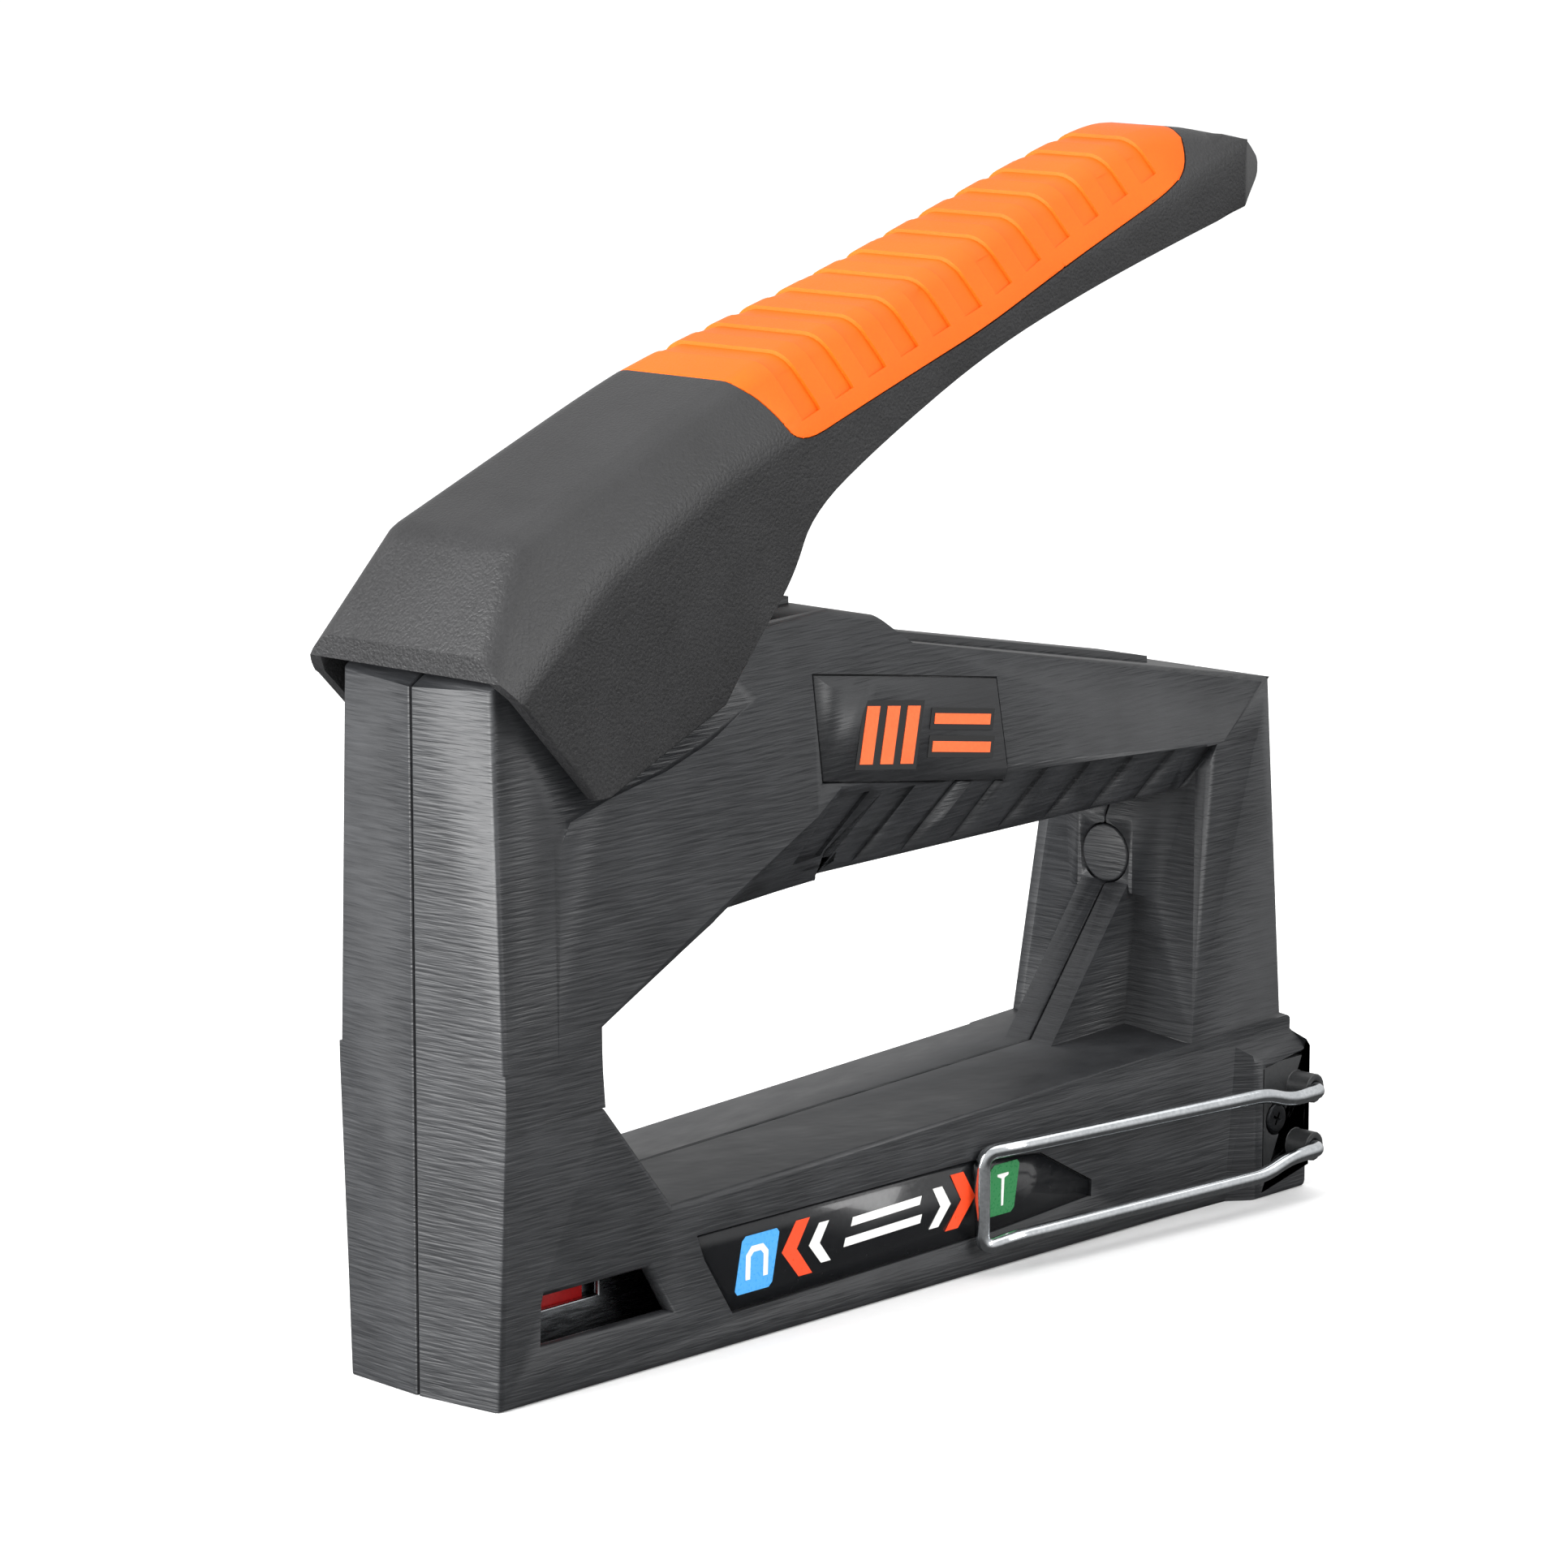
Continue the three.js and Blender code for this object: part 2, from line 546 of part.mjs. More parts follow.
// ---------------------------------------------------------------- magazine
const RAIL_HALF = 4.4;
const RAIL_TOP = 12.2;
const GUIDE_Z = 6.4;           // height of the pusher's guide rod

/** Steel channel that carries the staple rail along the beam. */
function magazineChannel() {
  const h = CHANNEL_W / 2;
  return box(6.2, 183, -h, h, 0, CHANNEL_H)
    .subtract(box(0, 200, -h + SHEET, h - SHEET, SHEET, CHANNEL_H - SHEET))
    .subtract(box(0, 200, -3, 3, 12, 20))
    .subtract(box(10, 32, -20, 20, 10.5, 15.4));
}

/** Inverted-U rail that the staples straddle; it draws out of the rear. */
function magazineRail() {
  return box(7.2, 183.6, -RAIL_HALF, RAIL_HALF, 1.6, RAIL_TOP)
    .subtract(box(8.2, 182.4, -RAIL_HALF + 1, RAIL_HALF - 1, 0, RAIL_TOP - 1))
    .subtract(barX(0, GUIDE_Z, 1.4, 0, 200, 12));
}

/** Thin rod inside the rail that the pusher slides on; its ends are headed over the rail. */
const guideRod = () => barX(0, GUIDE_Z, 1.2, 6.5, 187.4, 12);

/** End cap of the rail, which closes the rear of the beam. */
function railCap() {
  return box(184, 189.4, -9, 9, 1, 20)
    .subtract(box(186, 196, -4.3, 4.3, 11.7, 17.3))
    .subtract(barX(0, GUIDE_Z, 1.4, 180, 196, 12));
}

/** Push button in the cap that frees the magazine catch. */
const latchButton = () => box(187.6, 190.4, -4, 4, 12, 17);

/** Red pusher: a saddle over the rail with a block that slides on the guide rod. */
function pusher() {
  const saddle = box(8.6, 30, -5.6, 5.6, 2, 15.2)
    .subtract(box(0, 40, -RAIL_HALF - 0.25, RAIL_HALF + 0.25, 0, RAIL_TOP + 0.25));
  return saddle;
}

/** Block inside the rail that carries the pusher along the guide rod. */
const pusherBlock = () => box(9, 20, -3.1, 3.1, 3.2, 10.6).subtract(barX(0, GUIDE_Z, 1.5, 0, 40, 12));

/** Long pusher spring on the guide rod, behind the pusher block. */
function pusherSpring() {
  const g = wire(new Helix(2.3, 160, 16), 0.35, 16 * 9, 4);
  g.rotateY(Math.PI / 2);
  g.translate(21, 0, GUIDE_Z);
  return g;
}

// ---------------------------------------------------------------- assembly
const label = (side) => skin(LABEL_OUTLINE, side, 0.35, 0.65);
const badge = (side) => skin(BADGE_OUTLINE, side, -0.1, 0.4);

const pieces = [
  piece('housing_left', housing(-1), housingPlastic),
  piece('housing_right', housing(1), housingPlastic),
  piece('seam_plug', seamPlug(), housingPlastic),
  ...SCREWS.map((at, i) => piece(`housing_screw_${i + 1}`, housingScrew(at), darkSteel)),
  piece('lever_pin', leverPin(), steel),
  piece('return_spring', returnSpring(), springSteel),
  piece('spring_seat', springSeat(), steel),
  piece('bumper', bumper(), blackRubber),
  piece('driver_guide', driverGuide(), steel),
  piece('magazine_channel', magazineChannel(), steel),
  piece('hook_plate', hookPlate(), blackPlastic),
  piece('belt_hook', beltHook(), zinc),
  piece('hook_screw', hookScrew(), darkSteel),
  piece('label_left', label(-1), printedFilm),
  piece('label_right', label(1), printedFilm),
  piece('badge_left', badge(-1), badgeFilm),
  piece('badge_right', badge(1), badgeFilm),
  piece('lever_arm', leverArm(), leverPlastic),
  piece('lever_grip', leverGrip(), gripRubber),
  piece('lever_core', leverCore(), steel),
  piece('core_pin_front', corePin(CORE_PINS[0]), steel),
  piece('core_pin_rear', corePin(CORE_PINS[1]), steel),
  piece('hammer', hammer(), darkSteel),
  piece('driver_blade', driverBlade(), steel),
  piece('blade_rivet', bladeRivet(), steel),
  piece('lift_rod', liftRod(), steel),
  piece('power_spring', powerSpring(), springSteel),
  piece('magazine_rail', magazineRail(), steel),
  piece('rail_cap', railCap(), blackPlastic),
  piece('guide_rod', guideRod(), steel),
  piece('latch_button', latchButton(), redPlastic),
  piece('pusher', pusher(), redPlastic),
  piece('pusher_block', pusherBlock(), blackPlastic),
  piece('pusher_spring', pusherSpring(), springSteel),
];

// The origin is on the base plane, on the centre plane, halfway between nose and rear face.
const stapleGun = new THREE.Group();
stapleGun.position.x = -LENGTH / 2;
stapleGun.add(...pieces);

export default stapleGun;
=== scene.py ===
"""Dresses the staple gun's fixed frame: body shells, squeeze lever, grip, belt hook, labels and works."""
import logging
import math
from dataclasses import dataclass, field
from enum import Enum
from typing import Any, Callable, Iterable, Sequence

import bmesh
import bpy
from mathutils import Euler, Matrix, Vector


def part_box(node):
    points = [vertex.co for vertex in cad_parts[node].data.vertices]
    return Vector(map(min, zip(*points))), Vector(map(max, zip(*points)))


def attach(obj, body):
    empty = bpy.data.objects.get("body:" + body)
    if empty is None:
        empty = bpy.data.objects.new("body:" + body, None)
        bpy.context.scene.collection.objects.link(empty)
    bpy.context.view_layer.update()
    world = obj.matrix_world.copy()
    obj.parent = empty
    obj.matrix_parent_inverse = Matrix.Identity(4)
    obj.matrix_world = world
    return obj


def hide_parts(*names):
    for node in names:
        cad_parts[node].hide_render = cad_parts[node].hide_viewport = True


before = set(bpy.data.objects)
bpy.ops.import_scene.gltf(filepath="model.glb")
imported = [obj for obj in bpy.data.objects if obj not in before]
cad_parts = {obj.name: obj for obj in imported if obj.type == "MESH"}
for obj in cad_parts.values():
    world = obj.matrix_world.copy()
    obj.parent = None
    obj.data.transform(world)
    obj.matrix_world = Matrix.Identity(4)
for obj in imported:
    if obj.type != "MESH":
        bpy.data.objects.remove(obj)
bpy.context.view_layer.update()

logging.basicConfig(level=logging.INFO, format="%(name)s: %(message)s")
LOG = logging.getLogger("staple_gun")

MM = 0.001
NOSE_TO_ORIGIN = 95.0           # the frame's origin is this far behind the nose, in mm
MERGE_REACH = 0.00001           # points closer than this are one, m
FLAT_ANGLE = math.radians(0.7)  # faces that turn by less than this are one
BEYOND = 30                     # half width of a tool that passes clear of the lever's sides, mm

Point = tuple[float, float, float]
Plane = tuple[float, float, float]      # half width = a + b x + c z, in mm from the nose
Outline = Sequence[tuple[float, float]]

LOWER_SIDE: Plane = (16.2, 0.0142, 0.035)           # the side below the finger opening
UPPER_BAND: Plane = (34.02, -0.0207, -0.1747)       # the side that carries the badge
GRIP_CHAMFER: Plane = (-15.79, 0.0154, 0.379)       # the slope under it that carries the grooves


class Element(Enum):
    """What an edit-mode selection picks."""

    VERT = "VERT"
    EDGE = "EDGE"
    FACE = "FACE"


class Side(Enum):
    """Which side of the centre plane a piece belongs to."""

    LEFT = -1
    RIGHT = 1


# ---------------------------------------------------------------- bench: the modelling helpers
def at(x: float, y: float, z: float) -> Vector:
    """Gives the frame's point for a place in mm from the nose."""
    return Vector(((x - NOSE_TO_ORIGIN) * MM, y * MM, z * MM))


def nose_mm(point: Vector) -> Vector:
    """Gives a frame point in mm from the nose."""
    return Vector((point.x / MM + NOSE_TO_ORIGIN, point.y / MM, point.z / MM))


def half_width(plane: Plane, x: float, z: float) -> float:
    """Gives a side plane's distance from the centre plane, in mm."""
    return plane[0] + plane[1] * x + plane[2] * z


def focus(obj: bpy.types.Object) -> None:
    """Leaves one object selected and active, in object mode.

    Args:
        obj: the object.
    """
    active = bpy.context.view_layer.objects.active
    if active is not None and active.mode != "OBJECT":
        bpy.ops.object.mode_set(mode="OBJECT")
    bpy.ops.object.select_all(action="DESELECT")
    obj.select_set(True)
    bpy.context.view_layer.objects.active = obj


def edit(obj: bpy.types.Object, element: Element) -> None:
    """Opens an object in edit mode with nothing selected.

    Args:
        obj: the object to edit.
        element: what the selection works on.
    """
    focus(obj)
    bpy.ops.object.mode_set(mode="EDIT")
    bpy.ops.mesh.select_mode(type=element.value)
    bpy.ops.mesh.select_all(action="DESELECT")


def choose(obj: bpy.types.Object, element: Element, test: Callable[[Any], bool]) -> int:
    """Selects the elements that pass a test.

    Args:
        obj: the object in edit mode.
        element: what is selected.
        test: called with each element.

    Returns:
        How many are selected.
    """
    mesh = bmesh.from_edit_mesh(obj.data)
    groups = {Element.VERT: mesh.verts, Element.EDGE: mesh.edges, Element.FACE: mesh.faces}
    wanted = [item for item in groups[element] if test(item)]
    for item in mesh.faces[:] + mesh.edges[:] + mesh.verts[:]:
        item.select_set(False)
    for item in wanted:
        item.select_set(True)
    mesh.select_flush_mode()
    bmesh.update_edit_mesh(obj.data)
    return len(wanted)


def done(obj: bpy.types.Object) -> bpy.types.Object:
    """Leaves edit mode and gives the object back."""
    focus(obj)
    return obj


def settle(obj: bpy.types.Object, name: str) -> bpy.types.Object:
    """Names an object and applies its place, so that it sits at the origin.

    Args:
        obj: the object.
        name: its name.

    Returns:
        The object.
    """
    focus(obj)
    bpy.ops.object.transform_apply(location=True, rotation=True, scale=True)
    obj.name = name
    obj.data.name = name
    return obj


def carried(node: str, name: str) -> bpy.types.Object:
    """Copies a frame node as one merged mesh with whole flat faces.

    Args:
        node: the frame node.
        name: the copy's name.

    Returns:
        The copy.
    """
    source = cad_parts[node]
    obj = bpy.data.objects.new(name, source.data.copy())
    bpy.context.scene.collection.objects.link(obj)
    obj.data.materials.clear()
    edit(obj, Element.VERT)
    bpy.ops.mesh.select_all(action="SELECT")
    bpy.ops.mesh.remove_doubles(threshold=MERGE_REACH)
    bpy.ops.mesh.dissolve_limited(angle_limit=FLAT_ANGLE)
    return done(obj)


def bevel(obj: bpy.types.Object, test: Callable[[Any], bool], width: float, segments: int = 3) -> int:
    """Rounds the edges that pass a test.

    Args:
        obj: the object.
        test: called with each edge.
        width: the rounding in mm.
        segments: how many facets make it.

    Returns:
        How many edges were rounded.
    """
    edit(obj, Element.EDGE)
    count = choose(obj, Element.EDGE, test)
    if count:
        bpy.ops.mesh.bevel(
            offset=width * MM, segments=segments, profile=0.5, affect="EDGES", clamp_overlap=False
        )
    done(obj)
    return count


def bisect(obj: bpy.types.Object, point: Vector, normal: Vector, test: Callable[[Any], bool]) -> None:
    """Cuts new edges across the faces that pass a test, where a plane crosses them."""
    if choose(obj, Element.FACE, test):
        bpy.ops.mesh.bisect(plane_co=point, plane_no=normal)


def use_modifier(obj: bpy.types.Object, kind: str, **settings: Any) -> None:
    """Adds a modifier with its settings and applies it.

    Args:
        obj: the object.
        kind: the modifier's type.
        settings: the modifier's own properties.
    """
    focus(obj)
    modifier = obj.modifiers.new(kind.title(), kind)
    for key, value in settings.items():
        setattr(modifier, key, value)
    bpy.ops.object.modifier_apply(modifier=modifier.name)


def use_boolean(obj: bpy.types.Object, tool: bpy.types.Object, operation: str) -> None:
    """Combines an object with a tool and throws the tool away."""
    use_modifier(obj, "BOOLEAN", operation=operation, object=tool, solver="MANIFOLD")
    bpy.data.objects.remove(tool)


def cut(obj: bpy.types.Object, tool: bpy.types.Object) -> None:
    """Cuts a tool's shape out of an object."""
    use_boolean(obj, tool, "DIFFERENCE")


def smooth(obj: bpy.types.Object, degrees: float = 32) -> None:
    """Shades an object smooth, except across sharp edges."""
    focus(obj)
    bpy.ops.object.shade_smooth_by_angle(angle=math.radians(degrees))


def joined(parts: Sequence[bpy.types.Object], name: str) -> bpy.types.Object:
    """Makes one object of several.

    Args:
        parts: the objects.
        name: the result's name.

    Returns:
        The object.
    """
    focus(parts[0])
    for part in parts:
        part.select_set(True)
    bpy.ops.object.join()
    return settle(parts[0], name)


def finish(
    obj: bpy.types.Object, look: "Finish", body: str, stands_for: Iterable[str] = ()
) -> None:
    """Gives a new piece its material and body, and the frame nodes that it stands for.

    Args:
        obj: the piece.
        look: its finish.
        body: the body that it rides on.
        stands_for: the frame nodes that it replaces.
    """
    obj.data.materials.clear()
    obj.data.materials.append(look.material())
    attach(obj, body)
    nodes = list(stands_for)
    if nodes:
        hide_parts(*nodes)
    LOG.info("%s: %d faces on %s", obj.name, len(obj.data.polygons), body)


def convex(edge: Any, degrees: float) -> bool:
    """Tells whether an edge stands out by more than an angle."""
    return len(edge.link_faces) == 2 and edge.is_convex and edge.calc_face_angle() > math.radians(degrees)


def breadth(edge: Any) -> float:
    """Gives the narrower of an edge's two faces, as area over the edge's length, in mm."""
    return min(face.calc_area() for face in edge.link_faces) / max(edge.calc_length(), 1e-6) / MM


def middle(edge: Any) -> Vector:
    """Gives the middle of an edge, in mm from the nose."""
    return nose_mm((edge.verts[0].co + edge.verts[1].co) / 2)


# ---------------------------------------------------------------- finishes
def linear(code: str) -> tuple[float, float, float, float]:
    """Turns an sRGB hex colour into a linear one."""
    values = [int(code[i:i + 2], 16) / 255 for i in (1, 3, 5)]
    return (*[v / 12.92 if v <= 0.04045 else ((v + 0.055) / 1.055) ** 2.4 for v in values], 1.0)


def add_node(
    tree: bpy.types.NodeTree, kind: str, inputs: dict[Any, Any], **settings: Any
) -> bpy.types.Node:
    """Adds a shader node.

    Args:
        tree: the node tree of a material or of the surroundings.
        kind: the node's type.
        inputs: a value or a socket to link for each input.
        settings: the node's own properties.

    Returns:
        The node.
    """
    node = tree.nodes.new(kind)
    for key, value in settings.items():
        setattr(node, key, value)
    for key, value in inputs.items():
        if isinstance(value, bpy.types.NodeSocket):
            tree.links.new(value, node.inputs[key])
        else:
            node.inputs[key].default_value = value
    return node


@dataclass(frozen=True)
class Finish:
    """A finish: a colour that varies a little, and a grain of a real size that shows as bump."""

    name: str
    colour: str
    shade: str                      # the colour's darker end
    roughness: float
    grain: float = 0.4              # grain size in mm
    depth: float = 0.02             # grain depth in mm
    stretch: Point = (1, 1, 1)      # how much longer the grain is along each axis
    patch: float = 9.0              # size of the colour's patches in mm
    metallic: float = 0.0
    ior: float = 1.5
    coat: float = 0.0
    polish: float = 0.06            # how much the roughness varies
    shine: float = 0.5              # specular level

    def material(self) -> bpy.types.Material:
        """Builds the material, or gives the one that is already built.

        Returns:
            The material.
        """
        made = bpy.data.materials.get(self.name)
        if made is not None:
            return made
        made = bpy.data.materials.new(self.name)
        made.use_nodes = True
        tree = made.node_tree
        shader = tree.nodes["Principled BSDF"]
        place = add_node(tree, "ShaderNodeTexCoord", {}).outputs["Object"]
        scale = [1 / (self.grain * MM * s) for s in self.stretch]
        grid = add_node(tree, "ShaderNodeMapping", {"Vector": place, "Scale": scale}).outputs["Vector"]
        grain = add_node(tree, "ShaderNodeTexNoise", {"Vector": grid, "Scale": 1.0, "Detail": 2.0})
        patches = add_node(
            tree, "ShaderNodeTexNoise", {"Vector": place, "Scale": 1 / (self.patch * MM), "Detail": 3.0}
        )
        both = add_node(
            tree, "ShaderNodeMath",
            {0: grain.outputs["Fac"], 1: patches.outputs["Fac"]}, operation="ADD",
        )
        blend = add_node(
            tree, "ShaderNodeMapRange",
            {"Value": both.outputs["Value"], "From Min": 0.7, "From Max": 1.3},
        )
        colour = add_node(
            tree, "ShaderNodeMix",
            {0: blend.outputs["Result"], 6: linear(self.shade), 7: linear(self.colour)}, data_type="RGBA",
        )
        rough = add_node(
            tree, "ShaderNodeMapRange",
            {
                "Value": grain.outputs["Fac"], "From Min": 0.25, "From Max": 0.75,
                "To Min": max(self.roughness - self.polish, 0.02), "To Max": self.roughness + self.polish,
            },
        )
        bump = add_node(
            tree, "ShaderNodeBump",
            {"Height": grain.outputs["Fac"], "Strength": 1.0, "Distance": self.depth * MM},
        )
        tree.links.new(colour.outputs[2], shader.inputs["Base Color"])
        tree.links.new(rough.outputs["Result"], shader.inputs["Roughness"])
        tree.links.new(bump.outputs["Normal"], shader.inputs["Normal"])
        shader.inputs["Metallic"].default_value = self.metallic
        shader.inputs["IOR"].default_value = self.ior
        shader.inputs["Coat Weight"].default_value = self.coat
        shader.inputs["Specular IOR Level"].default_value = self.shine
        return made


# Glass-filled nylon moulded against a planed tool: fine level lines about 0.5 mm apart
HOUSING_NYLON = Finish(
    "glass_filled_nylon_lined", "#2d2e30", "#1e1f21", 0.45, 0.5, 0.17, (16, 16, 1), 12, ior=1.53, shine=0.4,
)
# The same nylon from a spark-eroded tool: an even matt grain
LEVER_NYLON = Finish(
    "glass_filled_nylon_grained", "#252526", "#1a1a1b", 0.48, 0.5, 0.14, patch=14, ior=1.53, shine=0.4,
)
# Acetal and nylon small parts, smoother
BLACK_MOULDING = Finish("black_acetal_moulded", "#2a2b2c", "#232425", 0.42, 0.5, 0.01, patch=7, ior=1.48)
# Thermoplastic elastomer moulded over the lever: satin, evenly coloured
GRIP_ELASTOMER = Finish(
    "orange_elastomer_moulded", "#e6600a", "#de5806", 0.5, 0.35, 0.012, patch=18, ior=1.5, shine=0.2,
)
# Zinc-plated and brightened steel wire
ZINC_WIRE = Finish("bright_zinc_plated_wire", "#d9dcdf", "#c6cacd", 0.16, 0.6, 0.006, patch=5, metallic=1.0)
# Zinc-plated pressings, rolled along their length
PLATED_STEEL = Finish("zinc_plated_sheet_steel", "#bcc0c4", "#a7abaf", 0.26, 0.3, 0.006, (12, 1, 1), 8, 1.0)
# Black oxide on the screws and the hammer
BLACK_STEEL = Finish("black_oxide_steel", "#3b3c3e", "#2c2d2f", 0.36, 0.3, 0.008, patch=3, metallic=1.0)
# Drawn music wire
SPRING_WIRE = Finish("drawn_spring_steel", "#8d9093", "#75787b", 0.3, 0.2, 0.004, patch=3, metallic=1.0)
# Acetal coloured through, for what the user presses or looks for
RED_ACETAL = Finish("red_acetal_moulded", "#b3191a", "#9c1415", 0.35, 0.5, 0.008, patch=6, ior=1.48)
# Moulded rubber that stops the hammer
BUFFER_RUBBER = Finish("black_moulded_rubber", "#1d1d1e", "#171718", 0.8, 0.4, 0.03, patch=6, ior=1.52)
# Printed polyester film, with the gloss of its clear face
LABEL_FILM = Finish("black_polyester_film", "#17181a", "#131416", 0.22, 0.8, 0.003, patch=20, coat=0.3)
# Screen-printing inks on the label
BLUE_INK = Finish("blue_screen_print", "#4a9fe0", "#4296d8", 0.3, 0.5, 0.003, patch=10)
GREEN_INK = Finish("green_screen_print", "#2f7d4a", "#2a7443", 0.3, 0.5, 0.003, patch=10)
ORANGE_INK = Finish("orange_screen_print", "#ee4a20", "#e8431a", 0.32, 0.5, 0.003, patch=10)
WHITE_INK = Finish("white_screen_print", "#e9e9e6", "#dededb", 0.32, 0.5, 0.003, patch=10)
# The badge: a film with the shells' lines, pad-printed in two colours
BLACK_INK = Finish("black_pad_print", "#0c0c0d", "#101011", 0.4, 0.2, 0.004, patch=8)
BADGE_FILM = Finish("textured_film", "#2b2c2e", "#1f2022", 0.47, 0.5, 0.12, (16, 16, 1), patch=20)
ORANGE_PAINT = Finish("orange_pad_print", "#e8622a", "#dd5720", 0.42, 0.5, 0.006, patch=8)


# ---------------------------------------------------------------- body shells
@dataclass
class Housing:
    """The two moulded shells, with rounded edges and the finger grooves under the upper body."""

    edge: float = 1.0               # rounding of the long outer edges, mm
    finger_edge: float = 4.0        # rounding of the upper body's lower edge, mm
    seam_edge: float = 0.35         # rounding along the joint face, mm
    clear_of_seam: float = 8.5      # outer edges are further than this from the centre plane, mm
    grooves: int = 9
    groove_pitch: float = 10.96
    groove_top: tuple[float, float] = (83.1, 83.2)   # top of the first groove's rear edge, mm
    groove_fall: float = 0.052      # how far the tops fall, per mm to the rear
    groove_foot: float = 66.0
    first_foot: float = 73.5        # the first groove stops above the lower edge, mm
    groove_lean: float = 0.78       # how far it leans to the rear, per mm of height
    groove_width: float = 8.2
    groove_depth: float = 0.85
    groove_proud: float = 0.06      # how far its front edge stays out of the face, mm
    groove_reach: float = 4.0       # how far the tool stands out of the face, mm

    def groove_tool(self, side: Side, index: int) -> bpy.types.Object:
        """Makes one leaning wedge, which cuts deepest along its rear edge.

        Args:
            side: left or right.
            index: which groove.

        Returns:
            The tool.
        """
        x_top = self.groove_top[0] + index * self.groove_pitch
        z_top = self.groove_top[1] - self.groove_fall * index * self.groove_pitch
        z_foot = self.groove_foot if index else self.first_foot
        bpy.ops.object.select_all(action="DESELECT")
        bpy.ops.mesh.primitive_cube_add(size=2)
        tool = bpy.context.active_object
        for vert in tool.data.vertices:
            rear, outer, upper = vert.co.x > 0, vert.co.y > 0, vert.co.z > 0
            z = z_top if upper else z_foot
            x = x_top - (z_top - z) * self.groove_lean - (0 if rear else self.groove_width)
            inner = -self.groove_depth if rear else self.groove_proud
            out = self.groove_reach if outer else inner
            vert.co = at(x, side.value * (half_width(GRIP_CHAMFER, x, z) + out), z)
        edit(tool, Element.FACE)
        bpy.ops.mesh.select_all(action="SELECT")
        bpy.ops.mesh.normals_make_consistent(inside=False)
        return settle(done(tool), "groove_tool")

    def shell(self, node: str, side: Side) -> bpy.types.Object:
        """Builds one shell.

        Args:
            node: the frame node that it stands for.
            side: left or right.

        Returns:
            The shell.
        """
        obj = carried(node, node + "_shell")

        def aside(edge: Any) -> bool:
            """Tells convex edges that are well away from the centre plane."""
            return abs(middle(edge).y) > self.clear_of_seam and convex(edge, 20)

        def outer(edge: Any) -> bool:
            """Tells the long outer edges."""
            return edge.calc_length() > 9 * MM and aside(edge) and breadth(edge) > 2.2

        def finger(edge: Any) -> bool:
            """Tells the lower edge of the upper body, where the fingers pull."""
            place = middle(edge)
            return 50 < place.x < 168 and 66 < place.z < 74 and aside(edge)

        def seam(edge: Any) -> bool:
            """Tells the edges along the joint face."""
            return abs(middle(edge).y) < 0.2 and convex(edge, 40) and edge.calc_length() > 3 * MM

        counts = [
            bevel(obj, seam, self.seam_edge, 2),
            bevel(obj, finger, self.finger_edge, 5),
            bevel(obj, outer, self.edge, 4),
        ]
        LOG.info("%s: rounded %s", node, counts)
        for index in range(self.grooves):
            cut(obj, self.groove_tool(side, index))
        smooth(obj, 30)
        return obj

    def build(self) -> None:
        """Builds both shells."""
        for node, side in (("housing_left", Side.LEFT), ("housing_right", Side.RIGHT)):
            finish(self.shell(node, side), HOUSING_NYLON, "frame", [node])


# ---------------------------------------------------------------- squeeze lever
def outward(face: Any) -> bool:
    """Tells the lever's outer faces from those of its hollow.

    Args:
        face: a face of the lever or of its pad.

    Returns:
        Whether it looks sideways, up or to the front.
    """
    normal = face.normal
    centre = face.calc_center_median()
    sideways = normal.y * centre.y > 0.5 * abs(centre.y)
    upward = normal.z > 0.25 and abs(normal.y) < 0.6
    return sideways or upward or normal.x < -0.6


def arc(before: Vector, corner: Vector, after: Vector, reach: float, steps: int) -> list[Vector]:
    """Gives the curve that takes a corner's place.

    Args:
        before: the point before the corner.
        corner: the corner.
        after: the point after it.
        reach: how far from the corner the curve starts, if both sides are long enough.
        steps: how many pieces the curve has.

    Returns:
        The curve's points.
    """
    back, ahead = before - corner, after - corner
    start = corner + back.normalized() * min(reach, back.length * 0.47)
    end = corner + ahead.normalized() * min(reach, ahead.length * 0.47)
    shares = [step / steps for step in range(steps + 1)]
    return [start * (1 - t) ** 2 + corner * 2 * t * (1 - t) + end * t ** 2 for t in shares]


def rounded(outline: Outline, reach: Callable[[float, float], float], steps: int = 6) -> list:
    """Turns an outline's corners into short curves.

    Args:
        outline: the corners, in mm.
        reach: gives how far from the corner at x, z its curve starts, in mm, or 0 for a sharp one.
        steps: how many pieces a curve has.

    Returns:
        The new outline.
    """
    corners = [Vector(corner) for corner in outline]
    points = []
    for index, corner in enumerate(corners):
        before, after = corners[index - 1], corners[(index + 1) % len(corners)]
        size = reach(corner.x, corner.y)
        curve = arc(before, corner, after, size, steps) if size else [corner]
        points.extend(tuple(point) for point in curve)
    return points


def plate(outline: Outline, y0: float, y1: float, name: str = "plate") -> bpy.types.Object:
    """Makes a solid from a side-view outline, between two widths.

    Args:
        outline: its corners in mm from the nose.
        y0: its limit on the left, mm.
        y1: its limit on the right, mm.
        name: its name.

    Returns:
        The solid.
    """
    bpy.ops.object.select_all(action="DESELECT")
    bpy.ops.mesh.primitive_circle_add(vertices=len(outline), radius=0.01, fill_type="NGON")
    obj = bpy.context.active_object
    for vert, (x, z) in zip(obj.data.vertices, outline):
        vert.co = at(x, y0, z)
    edit(obj, Element.FACE)
    bpy.ops.mesh.select_all(action="SELECT")
    bpy.ops.mesh.extrude_region_move(TRANSFORM_OT_translate={"value": (0, (y1 - y0) * MM, 0)})
    bpy.ops.mesh.select_all(action="SELECT")
    bpy.ops.mesh.normals_make_consistent(inside=False)
    return settle(done(obj), name)


